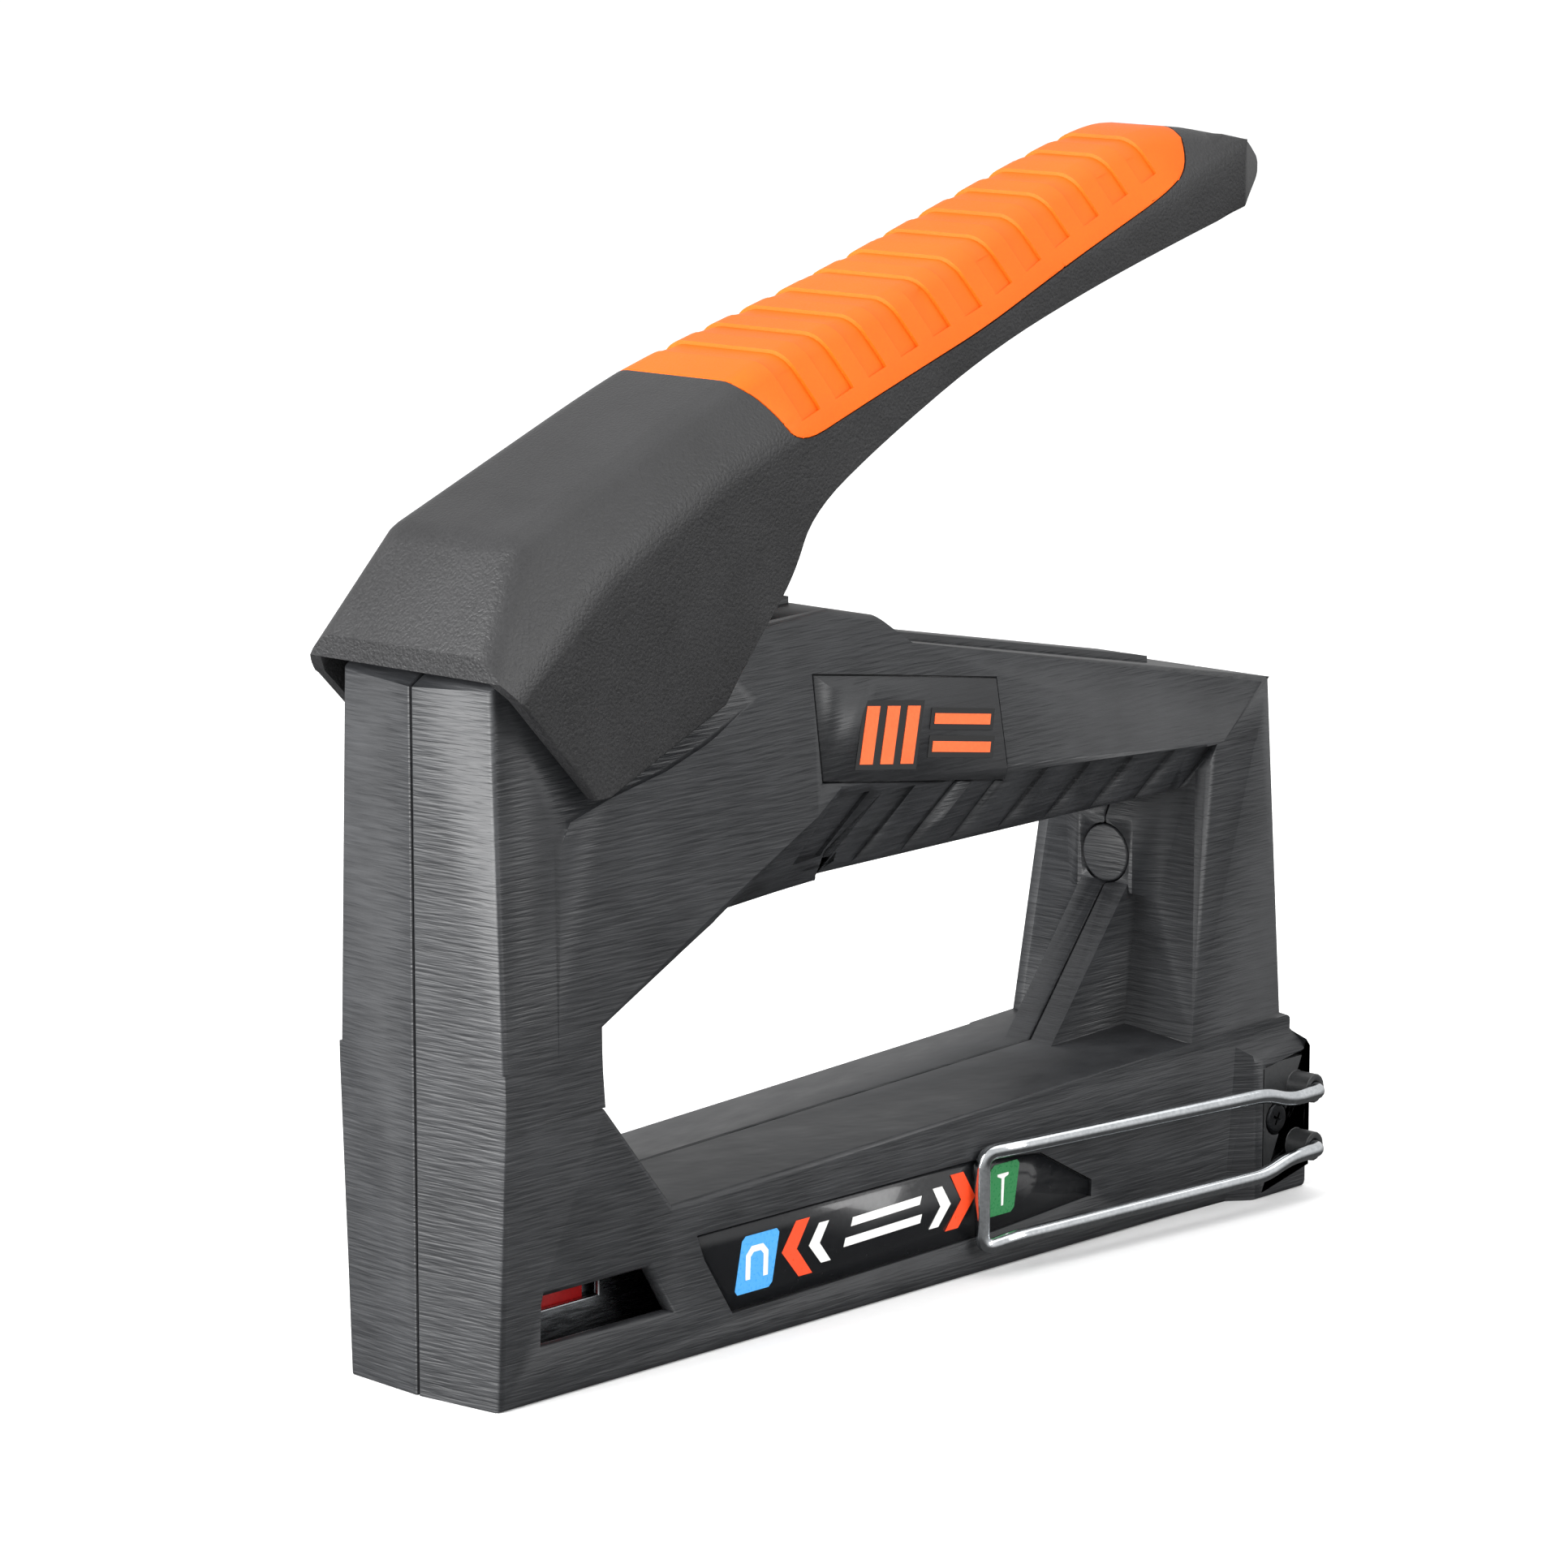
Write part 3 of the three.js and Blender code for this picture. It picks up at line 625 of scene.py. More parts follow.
def trim(obj: bpy.types.Object, normal: Point, distance: float) -> None:
    """Cuts away what lies beyond a plane and closes the cut.

    Args:
        obj: the solid.
        normal: the plane's normal, in the nose's frame.
        distance: how far the plane is from the nose's foot, mm.
    """
    direction = Vector(normal)
    size = direction.length
    direction.normalize()
    edit(obj, Element.FACE)
    bpy.ops.mesh.select_all(action="SELECT")
    spot = direction * (distance / size)
    bpy.ops.mesh.bisect(plane_co=at(*spot), plane_no=direction, use_fill=True, clear_outer=True)
    done(obj)


@dataclass
class LeverForm:
    """The lever's outer form: a side outline trimmed by its sides and bevels, with soft edges."""

    outline: Outline = (
        (-1.2, 111.2), (1.8, 107.9), (17.9, 91.6), (21.6, 91.6), (47.7, 101.8), (55, 110.8),
        (63.4, 119.4), (68, 129), (85.4, 138.2), (112, 149.8), (141, 158.2), (174, 166),
        (196, 170.6), (198.1, 172.2), (196.2, 174.4), (183, 178.4), (166, 182), (152, 178.6),
        (134.7, 173), (99, 160.8), (57, 150.2), (9, 130.4), (-1.6, 114.8),
    )
    side: Plane = (21.9, -0.047, 0.0)
    bevels: Sequence[tuple[Point, float]] = (        # each one's normal, and its distance in mm
        ((-0.22, 0.775, 0.593), 85.9), ((-0.321, 0.835, 0.447), 66.8), ((-0.129, 0.82, 0.558), 86.4),
        ((0.533, 0.846, 0), 107.6), ((0.743, 0.669, 0), 148.3), ((0.93, 0.368, 0), 184.6),
    )
    soft_edge: float = 2.8
    tail_edge: float = 0.5
    handle_curve: float = 16.0      # how far from a corner of the handle its curve starts, mm
    tip_curve: float = 2.0

    def trimmed(self, solid: bpy.types.Object, inset: float) -> bpy.types.Object:
        """Trims a solid by the sides and bevels, each moved inward.

        Args:
            solid: the solid.
            inset: how far the planes are moved, mm.

        Returns:
            The solid.
        """
        a, b, c = self.side
        size = math.sqrt(1 + b * b + c * c)
        planes = [((-b, 1, -c), a - inset * size)]
        planes += [(normal, reach - inset) for normal, reach in self.bevels]
        for (x, y, z), reach in planes:
            trim(solid, (x, y, z), reach)
            trim(solid, (x, -y, z), reach)
        return solid

    def inner(self, inset: float, name: str) -> bpy.types.Object:
        """Gives the form with every face moved inward."""
        outline = self.inset_outline(inset)
        return self.trimmed(plate(outline, -BEYOND, BEYOND, name), inset)

    def inset_outline(self, inset: float) -> Outline:
        """Moves each edge of the outline inward.

        Args:
            inset: how far, mm.

        Returns:
            The new outline.
        """
        corners = [Vector(corner) for corner in self.outline]
        result = []
        for index, corner in enumerate(corners):
            before = (corner - corners[index - 1]).normalized()
            after = (corners[(index + 1) % len(corners)] - corner).normalized()
            inward = Vector((-before.y - after.y, before.x + after.x))
            inward = inward.normalized() / max(math.sqrt((1 + before.dot(after)) / 2), 0.45)
            result.append(tuple(corner + inward * inset))
        return result

    def outer(self, name: str) -> bpy.types.Object:
        """Gives the outer form, with curved outlines and soft long edges.

        Args:
            name: its name.

        Returns:
            The form.
        """
        def reach(x: float, _height: float) -> float:
            """Gives a curve's reach: none on the hood, long on the handle, short at the tip."""
            return self.tip_curve if x > 190 else self.handle_curve if x > 50 else 0

        solid = self.trimmed(plate(rounded(self.outline, reach), -BEYOND, BEYOND, name), 0)

        def form(edge: Any) -> bool:
            """Tells the form's own long edges from the rims under it.

            Args:
                edge: an edge of the form.

            Returns:
                Whether it is one of the form's own.
            """
            place = middle(edge)
            under = any(face.normal.z < -0.1 and abs(face.normal.y) < 0.3 for face in edge.link_faces)
            brow = place.x < 4 and place.z < 118
            return convex(edge, 13) and place.x < 176 and not under and not brow

        def tail(edge: Any) -> bool:
            """Tells the edges of the handle's tail."""
            return convex(edge, 22) and middle(edge).x > 177.5

        LOG.info("%s: softened %d edges", name, bevel(solid, form, self.soft_edge, 5))
        LOG.info("%s: softened %d edges of the tail", name, bevel(solid, tail, self.tail_edge, 3))
        return solid


@dataclass
class LeverArm:
    """The moulded lever: a hood over the nose, hollow below, that narrows into the handle."""

    wall: float = 2.4
    rim_edge: float = 0.5           # rounding of the hood's rims, mm
    core_half: float = 8.5          # half width of the way for the steel core, mm
    recess: float = 2.5             # depth of the pad's seat, mm
    seat_gap: float = 0.15          # play round the pad, mm
    hood: Outline = (
        (-6, 60), (78, 60), (78, 137.4), (72, 146), (57, 146.6), (12, 128.2), (1.6, 114),
        (1.6, 111.2), (-6, 111.2),
    )
    core_way: Outline = ((60, 100), (151, 100), (151, 172.4), (134, 166.9), (99, 154.8), (60, 143.6))
    pivot: tuple[float, float] = (36.0, 107.0)
    boss_radius: float = 6.0
    boss_depth: float = 1.6
    boss_side: float = 17.9         # the boss's middle, from the centre plane, mm
    boss_edge: float = 0.25

    def boss(self, side: Side) -> bpy.types.Object:
        """Makes the round boss inside the hood, at one end of the pivot.

        Args:
            side: left or right.

        Returns:
            The boss.
        """
        x, z = self.pivot
        bpy.ops.object.select_all(action="DESELECT")
        bpy.ops.mesh.primitive_cylinder_add(
            vertices=40, radius=self.boss_radius * MM, depth=self.boss_depth * MM,
            location=at(x, side.value * self.boss_side, z), rotation=(math.pi / 2, 0, 0),
        )
        obj = settle(bpy.context.active_object, "pivot_boss")
        bevel(obj, lambda edge: edge.calc_face_angle() > 1, self.boss_edge, 2)
        return obj

    def build(self) -> None:
        """Builds the lever moulding."""
        form = LeverForm()
        arm = form.outer("lever_moulding")
        seat = plate(LeverGrip.seat(self.seat_gap), -BEYOND - 1, BEYOND + 1, "grip_seat")
        cut(seat, form.inner(self.recess, "handle_core"))
        cut(arm, seat)
        cut(arm, form.trimmed(plate(self.hood, -BEYOND, BEYOND, "hood_hollow"), self.wall))
        cut(arm, plate(self.core_way, -self.core_half, self.core_half, "core_way"))

        def low_rim(edge: Any) -> bool:
            """Tells the sharp rims of the hood."""
            return convex(edge, 50) and edge.calc_length() > 4 * MM and middle(edge).z < 137

        bevel(arm, low_rim, self.rim_edge, 3)
        arm = joined([arm, *[self.boss(side) for side in Side]], "lever_moulding")
        smooth(arm, 30)
        finish(arm, LEVER_NYLON, "lever", ["lever_arm"])


@dataclass
class LeverGrip:
    """The soft pad: a saddle with a row of shallow pockets, each deepest at its rear edge."""

    axis_slope: float = 0.22        # how far the pockets lean to the front
    axis_height: float = 139.2      # where a place along the handle is its distance from the nose, mm
    pockets: int = 12
    first: float = 66.8             # x of the first pocket's front edge on the lower border, mm
    pitch: float = 8.05
    pocket: float = 4.6
    border: float = 3.4             # plain band along the lower edge, mm
    lower_edge: Outline = (
        (64.5, 139.2), (80, 144.1), (95, 148.7), (110.2, 153.3), (134, 162.2), (159, 170.9),
    )
    deep: Point = (1, 0.966, 0.952)         # shrinks a pocket's rear half
    shallow: Point = (1, 0.995, 0.992)      # shrinks its front half
    crown: float = 12.0             # the shrinking's centre is this far below the pocket's top, mm
    thickness: float = 2.2
    rim_edge: float = 0.35

    @staticmethod
    def seat(gap: float) -> Outline:
        """Gives the pad's side outline, wider by a gap.

        Args:
            gap: the gap in mm.

        Returns:
            The outline.
        """
        base = (
            *LeverGrip.lower_edge, (167, 175), (169.5, 184.5), (140, 190), (100, 190), (50, 166),
            (56.5, 149.2), (60.5, 146.4),
        )
        centre = Vector((115, 168))
        grown = [Vector(corner) + (Vector(corner) - centre).normalized() * gap for corner in base]
        return rounded(grown, lambda x, z: 7 if z < 176 else 0)

    def along(self, point: Vector) -> float:
        """Gives a place along the handle, in mm."""
        spot = nose_mm(point)
        return (spot.x + self.axis_slope * (spot.z - self.axis_height)) / math.hypot(1, self.axis_slope)

    def border_height(self, x: float) -> tuple[float, float]:
        """Gives the lower edge's height and slope.

        Args:
            x: the distance from the nose, mm.

        Returns:
            The height in mm and the slope.
        """
        stretches = list(zip(self.lower_edge, self.lower_edge[1:]))
        (x0, z0), (x1, z1) = next((pair for pair in stretches if x <= pair[1][0]), stretches[-1])
        slope = (z1 - z0) / (x1 - x0)
        return z0 + slope * (x - x0), slope

    def press_pocket(self, obj: bpy.types.Object, index: int) -> None:
        """Cuts one pocket round the saddle and sinks its floor.

        Args:
            obj: the pad, in edit mode.
            index: which pocket.
        """
        direction = Vector((1, 0, self.axis_slope)).normalized()
        x0 = self.first + index * self.pitch
        z_edge, slope = self.border_height(x0 + self.pocket / 2)
        start = self.along(at(x0, 0, z_edge))
        stop = start + self.pocket
        for place in (start, stop):
            origin = at(0, 0, self.axis_height) + direction * (place * MM)
            bisect(obj, origin, direction, lambda face: True)

        def between(face: Any) -> bool:
            """Tells the outer faces between the pocket's two edges."""
            return start < self.along(face.calc_center_median()) < stop and outward(face)

        floor = Vector((-slope, 0, 1)).normalized()
        low = at(x0 + self.pocket / 2, 0, z_edge + self.border)
        bisect(obj, low, floor, between)

        def above(face: Any) -> bool:
            """Tells the faces between the edges and above the plain band."""
            return between(face) and (face.calc_center_median() - low).dot(floor) > 0

        if not choose(obj, Element.FACE, above):
            return
        bpy.ops.mesh.extrude_region_move()
        mesh = bmesh.from_edit_mesh(obj.data)
        mesh.verts.index_update()
        floor_verts = {vert.index for vert in mesh.verts if vert.select}
        top = max(vert.co.z for vert in mesh.verts if vert.select)
        centre = Vector((0, 0, top - self.crown * MM))
        half = (start + stop) / 2
        for rear, factors in ((True, self.deep), (False, self.shallow)):
            choose(
                obj, Element.VERT,
                lambda vert: vert.index in floor_verts and (self.along(vert.co) > half) == rear,
            )
            bpy.ops.transform.resize(value=factors, center_override=centre)

    def rim(self, edge: Any) -> bool:
        """Tells the pad's outer rim."""
        return convex(edge, 50) and edge.calc_length() > 0.4 * MM and any(map(outward, edge.link_faces))

    def build(self) -> None:
        """Builds the pad."""
        form = LeverForm()
        obj = form.outer("lever_grip_pad")
        use_boolean(obj, plate(self.seat(0), -BEYOND - 1, BEYOND + 1, "pad_outline"), "INTERSECT")
        cut(obj, form.inner(self.thickness, "handle_core"))
        bevel(obj, self.rim, self.rim_edge, 3)
        edit(obj, Element.FACE)
        for index in range(self.pockets):
            self.press_pocket(obj, index)
        done(obj)
        smooth(obj, 28)
        finish(obj, GRIP_ELASTOMER, "lever", ["lever_grip"])


# ---------------------------------------------------------------- belt hook
@dataclass
class BeltHook:
    """The bent wire hook."""

    wire: float = 1.25              # the wire's radius, mm
    bend: float = 3.0               # how far from a corner its bend starts, mm
    corners: Sequence[Point] = (
        (186.6, -21.6, 18.3), (186.6, -28.2, 18.3), (177.5, -28.2, 18.3), (171, -28, 20.3),
        (112.5, -22.4, 21.2), (108, -19.5, 20.6), (108, -19.5, 4.6), (112.5, -22.4, 6.2),
        (171, -28, 6.4), (177.5, -28.2, 8.2), (186.6, -28.2, 8.2), (186.6, -21.6, 8.2),
    )

    def path(self) -> list[Vector]:
        """Gives the wire's centre line, with each corner turned into a bend.

        Returns:
            The points.
        """
        corners = [at(*corner) for corner in self.corners]
        points = [corners[0]]
        for before, corner, after in zip(corners, corners[1:], corners[2:]):
            reach = min(self.bend * MM, *[(corner - end).length * 0.46 for end in (before, after)])
            points.extend(arc(before, corner, after, reach, 8))
        points.append(corners[-1])
        return points

    def build(self) -> None:
        """Builds the wire as a round tube along its centre line."""
        bpy.ops.object.select_all(action="DESELECT")
        bpy.ops.curve.primitive_nurbs_path_add()
        obj = bpy.context.active_object
        curve = obj.data
        curve.splines.clear()
        points = self.path()
        spline = curve.splines.new("POLY")
        spline.points.add(len(points) - 1)
        for target, point in zip(spline.points, points):
            target.co = (*point, 1)
        curve.dimensions = "3D"
        curve.bevel_depth = self.wire * MM
        curve.bevel_resolution = 6
        curve.use_fill_caps = True
        focus(obj)
        bpy.ops.object.convert(target="MESH")
        obj = settle(bpy.context.active_object, "belt_hook_wire")
        smooth(obj, 50)
        finish(obj, ZINC_WIRE, "frame", ["belt_hook"])


# ---------------------------------------------------------------- screws
@dataclass
class Screws:
    """Cross-recess screws: one is modelled along Y and copied."""

    head: float = 2.9               # the head's radius, mm
    head_depth: float = 2.2
    face_edge: float = 0.6          # rounding of the head's face, mm
    back_edge: float = 0.1
    recess: float = 1.9             # half length of the cross, mm
    recess_depth: float = 1.2
    recess_taper: float = 0.35      # the cross's size at its bottom, as a share
    slot_width: float = 0.75

    def make(self, name: str) -> bpy.types.Object:
        """Makes one screw whose head looks along +Y from the origin.

        Args:
            name: the screw's name.

        Returns:
            The screw.
        """
        bpy.ops.object.select_all(action="DESELECT")
        bpy.ops.mesh.primitive_cylinder_add(
            vertices=40, radius=self.head * MM, depth=self.head_depth * MM,
            location=(0, -self.head_depth * MM / 2, 0), rotation=(-math.pi / 2, 0, 0),
        )
        obj = settle(bpy.context.active_object, name)
        bevel(obj, lambda edge: edge.calc_face_angle() > 1 and middle(edge).y > -0.5, self.face_edge, 4)
        bevel(obj, lambda edge: edge.calc_face_angle() > 1, self.back_edge, 2)
        arms = []
        for turn in (0, math.pi / 2):
            bpy.ops.object.select_all(action="DESELECT")
            bpy.ops.mesh.primitive_cube_add(size=1, location=(0, 0, 0), rotation=(0, turn, 0))
            arm = bpy.context.active_object
            arm.scale = (2 * self.recess * MM, 2 * self.recess_depth * MM, self.slot_width * MM)
            arm = settle(arm, "recess_arm")
            edit(arm, Element.VERT)
            choose(arm, Element.VERT, lambda vert: vert.co.y < 0)
            bpy.ops.transform.resize(
                value=(self.recess_taper, 1, self.recess_taper),
                center_override=(0, -self.recess_depth * MM, 0),
            )
            arms.append(done(arm))
        for arm in arms:
            cut(obj, arm)
        smooth(obj, 35)
        return obj

    def place(
        self, master: bpy.types.Object, name: str, spot: Vector, turn: float, scale: float = 1.0,
        flip: bool = False,
    ) -> bpy.types.Object:
        """Copies the screw to its place with its own mesh.

        Args:
            master: the screw that is copied.
            name: the copy's name.
            spot: the middle of its face.
            turn: how far its cross is turned, in radians.
            scale: its size against the master's.
            flip: whether it looks along -Y.

        Returns:
            The copy.
        """
        obj = master.copy()
        obj.data = master.data.copy()
        bpy.context.scene.collection.objects.link(obj)
        obj.location = spot
        obj.rotation_euler = (math.pi if flip else 0, turn, 0)
        obj.scale = (scale, scale, scale)
        return settle(obj, name)

    def build(self) -> None:
        """Places the housing screws and the hook's screw."""
        master = self.make("screw_master")
        for index in range(1, 9):
            node = f"housing_screw_{index}"
            low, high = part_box(node)
            spot = Vector(((low.x + high.x) / 2, high.y, (low.z + high.z) / 2))
            obj = self.place(master, f"body_screw_{index}", spot, 0.35 * index)
            finish(obj, BLACK_STEEL, "frame", [node])
        low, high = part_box("hook_screw")
        spot = Vector(((low.x + high.x) / 2, low.y, (low.z + high.z) / 2))
        obj = self.place(master, "hook_fixing_screw", spot, 0.5, 0.9, flip=True)
        finish(obj, BLACK_STEEL, "frame", ["hook_screw"])
        bpy.data.objects.remove(master)


# ---------------------------------------------------------------- printed films
@dataclass
class Decals:
    """Printed fields on the label and the badge: flat shapes that stand a hair above the film."""

    lift: float = 0.07              # thickness of a printed field, mm
    air: float = 0.02               # gap between the film and its print, mm
    label_face: float = -0.35       # the label's face, out of the side's plane, mm
    badge_face: float = 0.1
    border: float = 0.9             # width of the black border round the badge's marks, mm
    chevron: Outline = ((0, 0), (3.1, 0), (-0.6, 4.6), (2.2, 9.2), (-0.9, 9.2), (-4.0, 4.6))
    staple: Outline = (
        (0, 0), (1, 0), (1, 3.6), (1.7, 4.3), (3.3, 4.3), (4, 3.6), (4, 0), (5, 0), (5, 4),
        (3.8, 5.3), (1.2, 5.3), (0, 4),
    )
    nail: Outline = (
        (1.2, 0), (1.7, 0.0), (1.8, 4.6), (2.8, 5.0), (2.8, 5.4), (0.1, 5.4), (0.1, 5.0), (1.1, 4.6),
    )

    def shape(
        self, name: str, corners: Outline, plane: Plane, side: Side, look: Finish,
        film: float, layer: int = 0,
    ) -> None:
        """Makes one printed field.

        Args:
            name: its name.
            corners: its outline in mm from the nose.
            plane: the side plane that the film lies on.
            side: left or right.
            look: the ink.
            film: how far the film's face stands out of the plane, mm.
            layer: 0 on the film, 1 on another field.
        """
        bpy.ops.object.select_all(action="DESELECT")
        bpy.ops.mesh.primitive_circle_add(vertices=len(corners), radius=0.01, fill_type="NGON")
        obj = bpy.context.active_object
        out = film + self.air + layer * self.lift
        for vert, (x, z) in zip(obj.data.vertices, corners):
            vert.co = at(x, side.value * (half_width(plane, x, z) + out), z)
        edit(obj, Element.FACE)
        bpy.ops.mesh.select_all(action="SELECT")
        bpy.ops.mesh.extrude_region_move(
            TRANSFORM_OT_translate={"value": (0, side.value * self.lift * MM, 0)}
        )
        bpy.ops.mesh.select_all(action="SELECT")
        bpy.ops.mesh.normals_make_consistent(inside=False)
        settle(obj, f"{name}_{side.name.lower()}")
        finish(obj, look, "frame")

    def card(self, x: float, z: float, width: float, height: float, lean: float) -> Outline:
        """Gives a leaning field with cut corners.

        Args:
            x: its front end, mm from the nose.
            z: its lower edge, mm.
            width: its width, mm.
            height: its height, mm.
            lean: how far its top stands to the rear, mm.

        Returns:
            The outline.
        """
        c = 0.7     # size of a cut corner, mm
        base = [
            (c, 0), (width - c, 0), (width, c), (width, height - c),
            (width - c, height), (c, height), (0, height - c), (0, c),
        ]
        return [(x + u + lean * v / height, z + v) for u, v in base]

    def moved(
        self, outline: Outline, x: float, z: float, scale: float = 1.0, flip: bool = False
    ) -> Outline:
        """Gives an outline moved, scaled and perhaps turned end for end."""
        sign = -1 if flip else 1
        return [(x + sign * u * scale, z + v * scale) for u, v in outline]

    def build(self) -> None:
        """Prints both labels and both badges."""
        for side in Side:
            def label(name: str, corners: Outline, look: Finish, layer: int = 0) -> None:
                """Prints on the label film."""
                self.shape(name, corners, LOWER_SIDE, side, look, self.label_face, layer)

            label("staple_card", self.card(51.9, 7.9, 8.4, 9.2, 1.6), BLUE_INK)
            label("staple_mark", self.moved(self.staple, 54.3, 10.0), WHITE_INK, 1)
            label("front_chevron", self.moved(self.chevron, 66.5, 8.2), ORANGE_INK)
            label("front_chevron_small", self.moved(self.chevron, 71.6, 9.4, 0.72), WHITE_INK)
            label("rear_chevron", self.moved(self.chevron, 104.0, 8.7, 1, True), ORANGE_INK)
            label("rear_chevron_small", self.moved(self.chevron, 99.2, 9.8, 0.72, True), WHITE_INK)
            label("middle_bar_upper", ((78.4, 14.0), (94.6, 14.4), (95.0, 15.8), (78.8, 15.4)), WHITE_INK)
            label("middle_bar_lower", ((76.8, 10.9), (94.8, 11.3), (95.2, 12.7), (77.2, 12.3)), WHITE_INK)
            label("nail_card", self.card(110.6, 8.9, 7.0, 8.6, 1.2), GREEN_INK)
            label("nail_mark", self.moved(self.nail, 113.2, 10.4), WHITE_INK, 1)
            for index in range(3):
                x = 80.5 + index * 4.8
                z = 87.8 - index * 0.6
                bar = ((x, z), (x + 3.0, z - 0.4), (x + 6.6, z + 8.2), (x + 3.6, z + 8.6))
                self.mark(f"badge_bar_{index + 1}", bar, side)
            self.mark("badge_line_lower", ((98, 87.4), (112, 85.4), (112.6, 87.0), (98.6, 89.0)), side)
            self.mark("badge_line_upper", ((99.4, 91.6), (112.9, 89.7), (113.5, 91.3), (100, 93.2)), side)

    def mark(self, name: str, corners: Outline, side: Side) -> None:
        """Paints one mark of the badge, with a black border.

        Args:
            name: name of the mark.
            corners: its outline, in mm.
            side: left or right.
        """
        points = [Vector(corner) for corner in corners]
        wide = (points[1] - points[0]).normalized() * self.border
        tall = (points[3] - points[0]).normalized() * self.border
        ways = ((-1, -1), (1, -1), (1, 1), (-1, 1))
        grown = [tuple(point + wide * u + tall * v) for point, (u, v) in zip(points, ways)]
        self.shape(name + "_border", grown, UPPER_BAND, side, BLACK_INK, self.badge_face)
        self.shape(name, corners, UPPER_BAND, side, ORANGE_PAINT, self.badge_face, 1)


# ---------------------------------------------------------------- frame nodes that stay
@dataclass
class CarriedOver:
    """Frame nodes whose shape is right: each gets its finish, and softened edges where they show."""

    softened: dict[str, float] = field(default_factory=lambda: {     # each node's rounding, mm
        "seam_plug": 0.4, "hook_plate": 0.5, "rail_cap": 0.6, "latch_button": 0.4, "magazine_channel": 0.3,
        "magazine_rail": 0.2, "pusher": 0.4, "pusher_block": 0.3, "hammer": 0.5, "lift_rod": 0.3,
        "lever_core": 0.25, "driver_guide": 0.2, "bumper": 0.5, "spring_seat": 0.3, "lever_pin": 0.3,
    })

    def looks(self) -> dict[str, Finish]:
        """Gives the finish of each kept node.

        Returns:
            The finishes by node.
        """
        steel = (
            "lever_pin", "spring_seat", "driver_guide", "magazine_channel", "lever_core",
            "core_pin_front", "core_pin_rear", "driver_blade", "blade_rivet", "lift_rod",
            "magazine_rail", "guide_rod",
        )
        return {
            **{node: PLATED_STEEL for node in steel},
            **{node: SPRING_WIRE for node in ("return_spring", "power_spring", "pusher_spring")},
            **{node: BLACK_MOULDING for node in ("hook_plate", "rail_cap", "pusher_block")},
            **{node: LABEL_FILM for node in ("label_left", "label_right")},
            **{node: BADGE_FILM for node in ("badge_left", "badge_right")},
            "seam_plug": HOUSING_NYLON, "hammer": BLACK_STEEL, "bumper": BUFFER_RUBBER,
            "latch_button": RED_ACETAL, "pusher": RED_ACETAL,
        }

    def build(self) -> None:
        """Dresses the kept nodes."""
        for node, look in self.looks().items():
            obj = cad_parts[node]
            obj.data.materials.clear()
            obj.data.materials.append(look.material())
            weld = obj.modifiers.new("Weld", "WELD")
            weld.merge_threshold = MERGE_REACH
            width = self.softened.get(node)
            if width:
                flat = obj.modifiers.new("Flat faces", "DECIMATE")
                flat.decimate_type = "DISSOLVE"
                flat.angle_limit = FLAT_ANGLE
                soft = obj.modifiers.new("Soft edges", "BEVEL")
                soft.width = width * MM
                soft.segments = 3
                soft.limit_method = "ANGLE"
                soft.angle_limit = math.radians(35)
            smooth(obj, 1 if look in (LABEL_FILM, BADGE_FILM) else 38)
            LOG.info("%s keeps its shape", node)


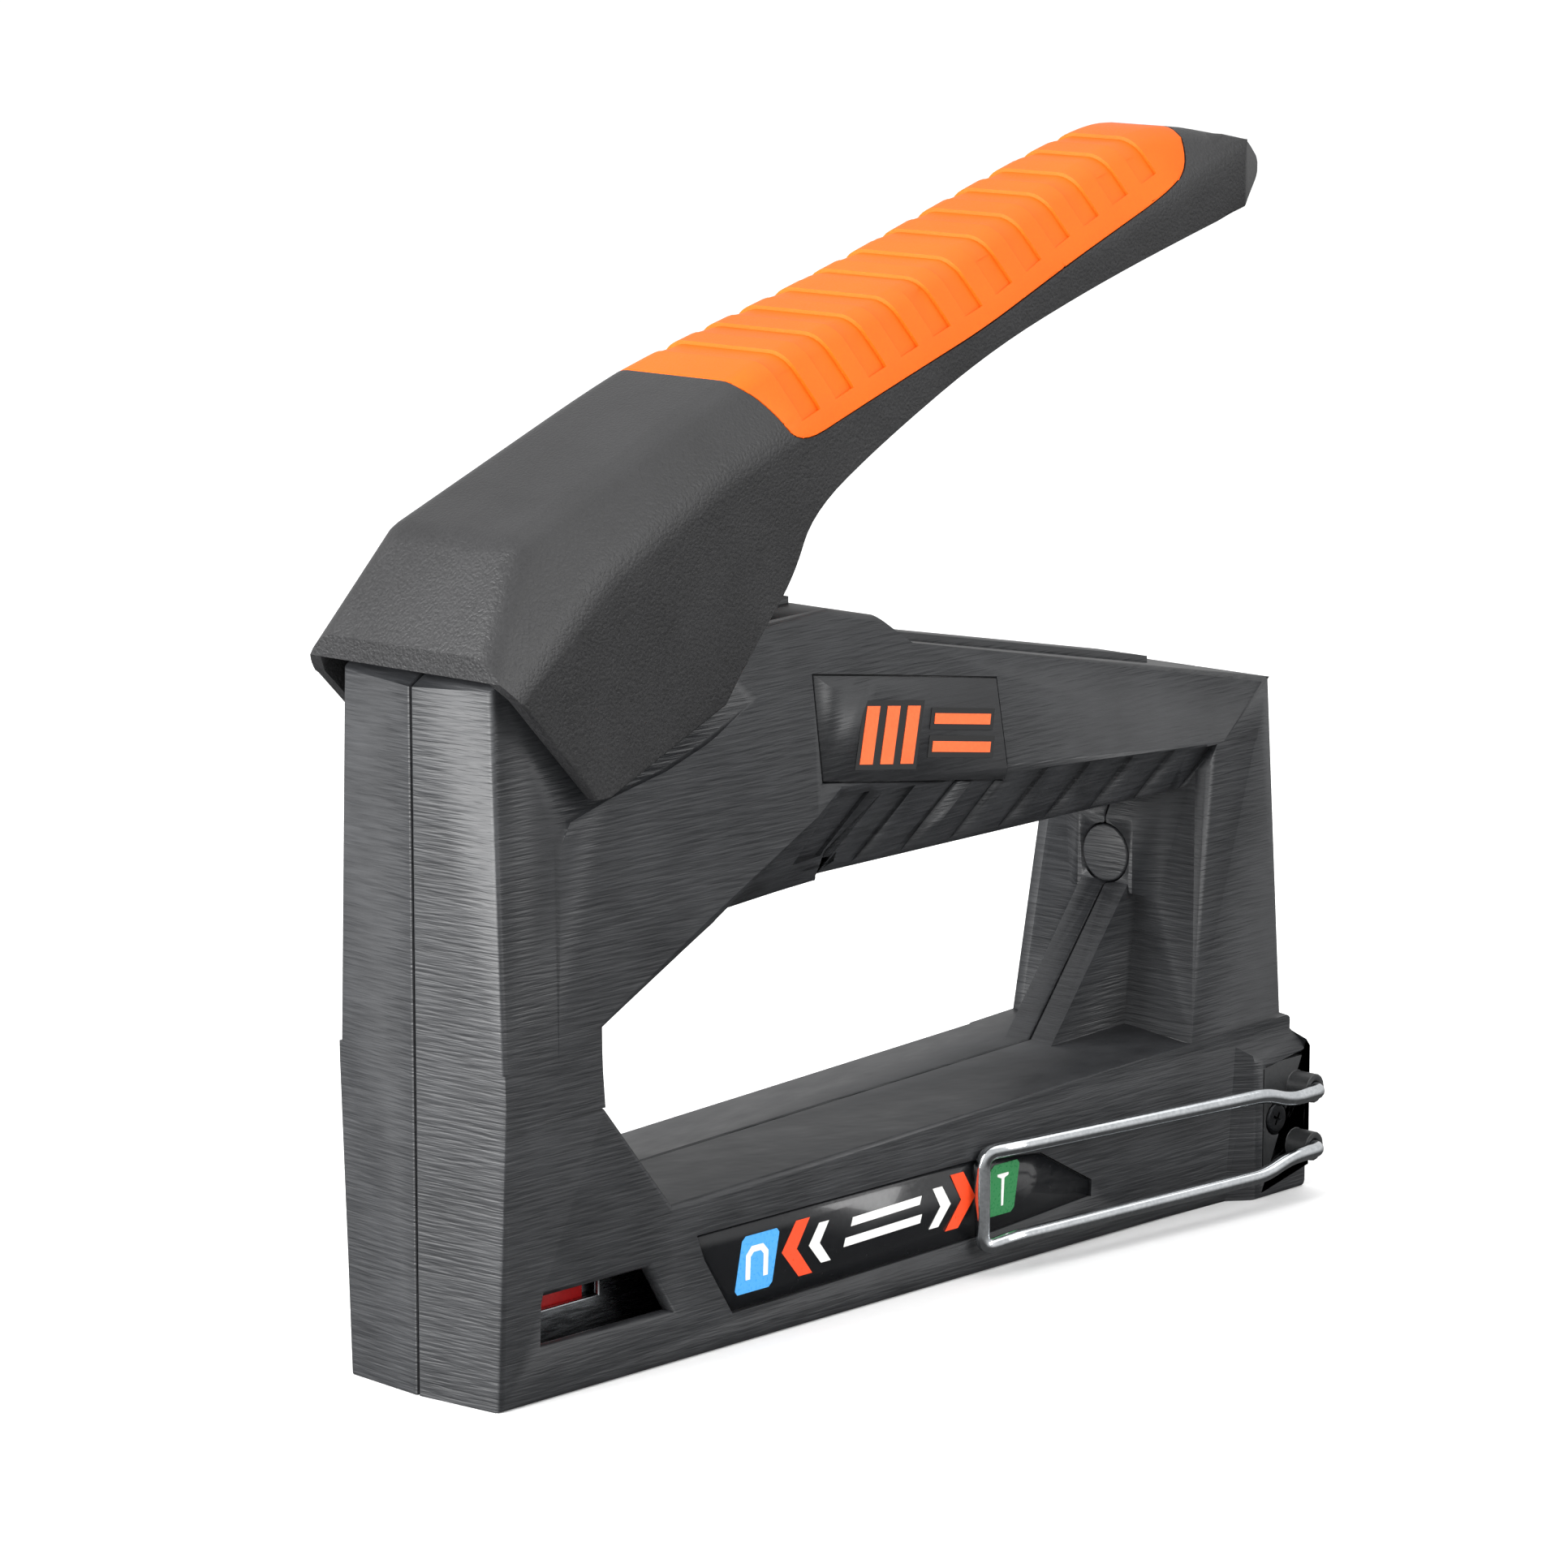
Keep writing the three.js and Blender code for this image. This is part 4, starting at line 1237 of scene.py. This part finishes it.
# ---------------------------------------------------------------- studio
@dataclass
class Studio:
    """The floor, the soft lights and the camera."""

    eye: Point = (-0.7106, -0.6365, 0.2633)
    aim: Point = (-0.0131, 0.0, 0.0823)
    lens: float = 139.7             # focal length on a sensor 36 mm wide, mm
    floor_size: float = 14.0
    lamp_size: float = 0.9
    front_lamp: tuple[Point, float] = ((-1.25, 0.3, 0.45), 46)      # place and power in W
    side_lamp: tuple[Point, float] = ((0.3, -1.4, 0.75), 14)
    overhead: float = 1.1           # strength of the wide light from above
    room: dict[str, float] = field(default_factory=lambda: {        # dim below, bright above
        "From Min": -0.35, "From Max": 0.15, "To Min": 0.08, "To Max": 0.82,
    })

    def toward(self, place: Point) -> Euler:
        """Gives the turn that looks from a place at the object."""
        return (Vector(self.aim) - Vector(place)).to_track_quat("-Z", "Y").to_euler()

    def lamp(self, name: str, place: Point, power: float) -> None:
        """Hangs a square soft light that looks at the object.

        Args:
            name: its name.
            place: where it hangs, m.
            power: its power, W.
        """
        bpy.ops.object.light_add(type="AREA", location=place)
        lamp = bpy.context.active_object
        lamp.name = name
        lamp.data.size = self.lamp_size
        lamp.data.energy = power
        lamp.rotation_euler = self.toward(place)

    def lay_floor(self) -> None:
        """Lays the white floor, which the object doesn't mirror."""
        bpy.ops.object.select_all(action="DESELECT")
        bpy.ops.mesh.primitive_plane_add(size=self.floor_size, location=(0, 0, 0))
        floor = bpy.context.active_object
        floor.name = "floor"
        paper = Finish("white_paper_sweep", "#f7f7f7", "#f4f4f4", 0.8, 2.0, 0.0, patch=400)
        floor.data.materials.append(paper.material())
        floor.visible_glossy = False

    def light(self) -> None:
        """Hangs the lights."""
        self.lamp("front_soft_light", *self.front_lamp)
        self.lamp("side_soft_light", *self.side_lamp)
        bpy.ops.object.light_add(type="SUN", location=(0, 0, 2), rotation=(0.12, 0.2, 0))
        overhead = bpy.context.active_object
        overhead.name = "overhead_soft_light"
        overhead.data.energy = self.overhead
        overhead.data.angle = math.radians(70)

    def surround(self) -> None:
        """Makes the surroundings: a soft room that is brighter above than below."""
        world = bpy.data.worlds.new("soft_room")
        world.use_nodes = True
        tree = world.node_tree
        direction = add_node(tree, "ShaderNodeTexCoord", {})
        parts = add_node(tree, "ShaderNodeSeparateXYZ", {"Vector": direction.outputs["Generated"]})
        height = add_node(tree, "ShaderNodeMapRange", {"Value": parts.outputs["Z"], **self.room})
        backdrop = tree.nodes["Background"]
        backdrop.inputs["Color"].default_value = (1, 1, 1, 1)
        tree.links.new(height.outputs["Result"], backdrop.inputs["Strength"])
        bpy.context.scene.world = world
        bpy.context.scene.view_settings.view_transform = "Standard"

    def set_camera(self) -> None:
        """Sets the camera up."""
        bpy.ops.object.camera_add(location=self.eye)
        camera = bpy.context.active_object
        camera.rotation_euler = self.toward(self.eye)
        camera.data.lens = self.lens
        camera.data.sensor_width = 36
        camera.data.clip_start = 0.05
        bpy.context.scene.camera = camera

    def build(self) -> None:
        """Sets up the floor, lights, surroundings and camera."""
        self.lay_floor()
        self.light()
        self.surround()
        self.set_camera()


def main() -> None:
    """Builds the studio and every sub-assembly in order."""
    parts = (
        Studio(), Housing(), LeverArm(), LeverGrip(), BeltHook(), Screws(), Decals(), CarriedOver(),
    )
    for part in parts:
        LOG.info("building %s", type(part).__name__)
        part.build()


if __name__ == "__main__":
    main()
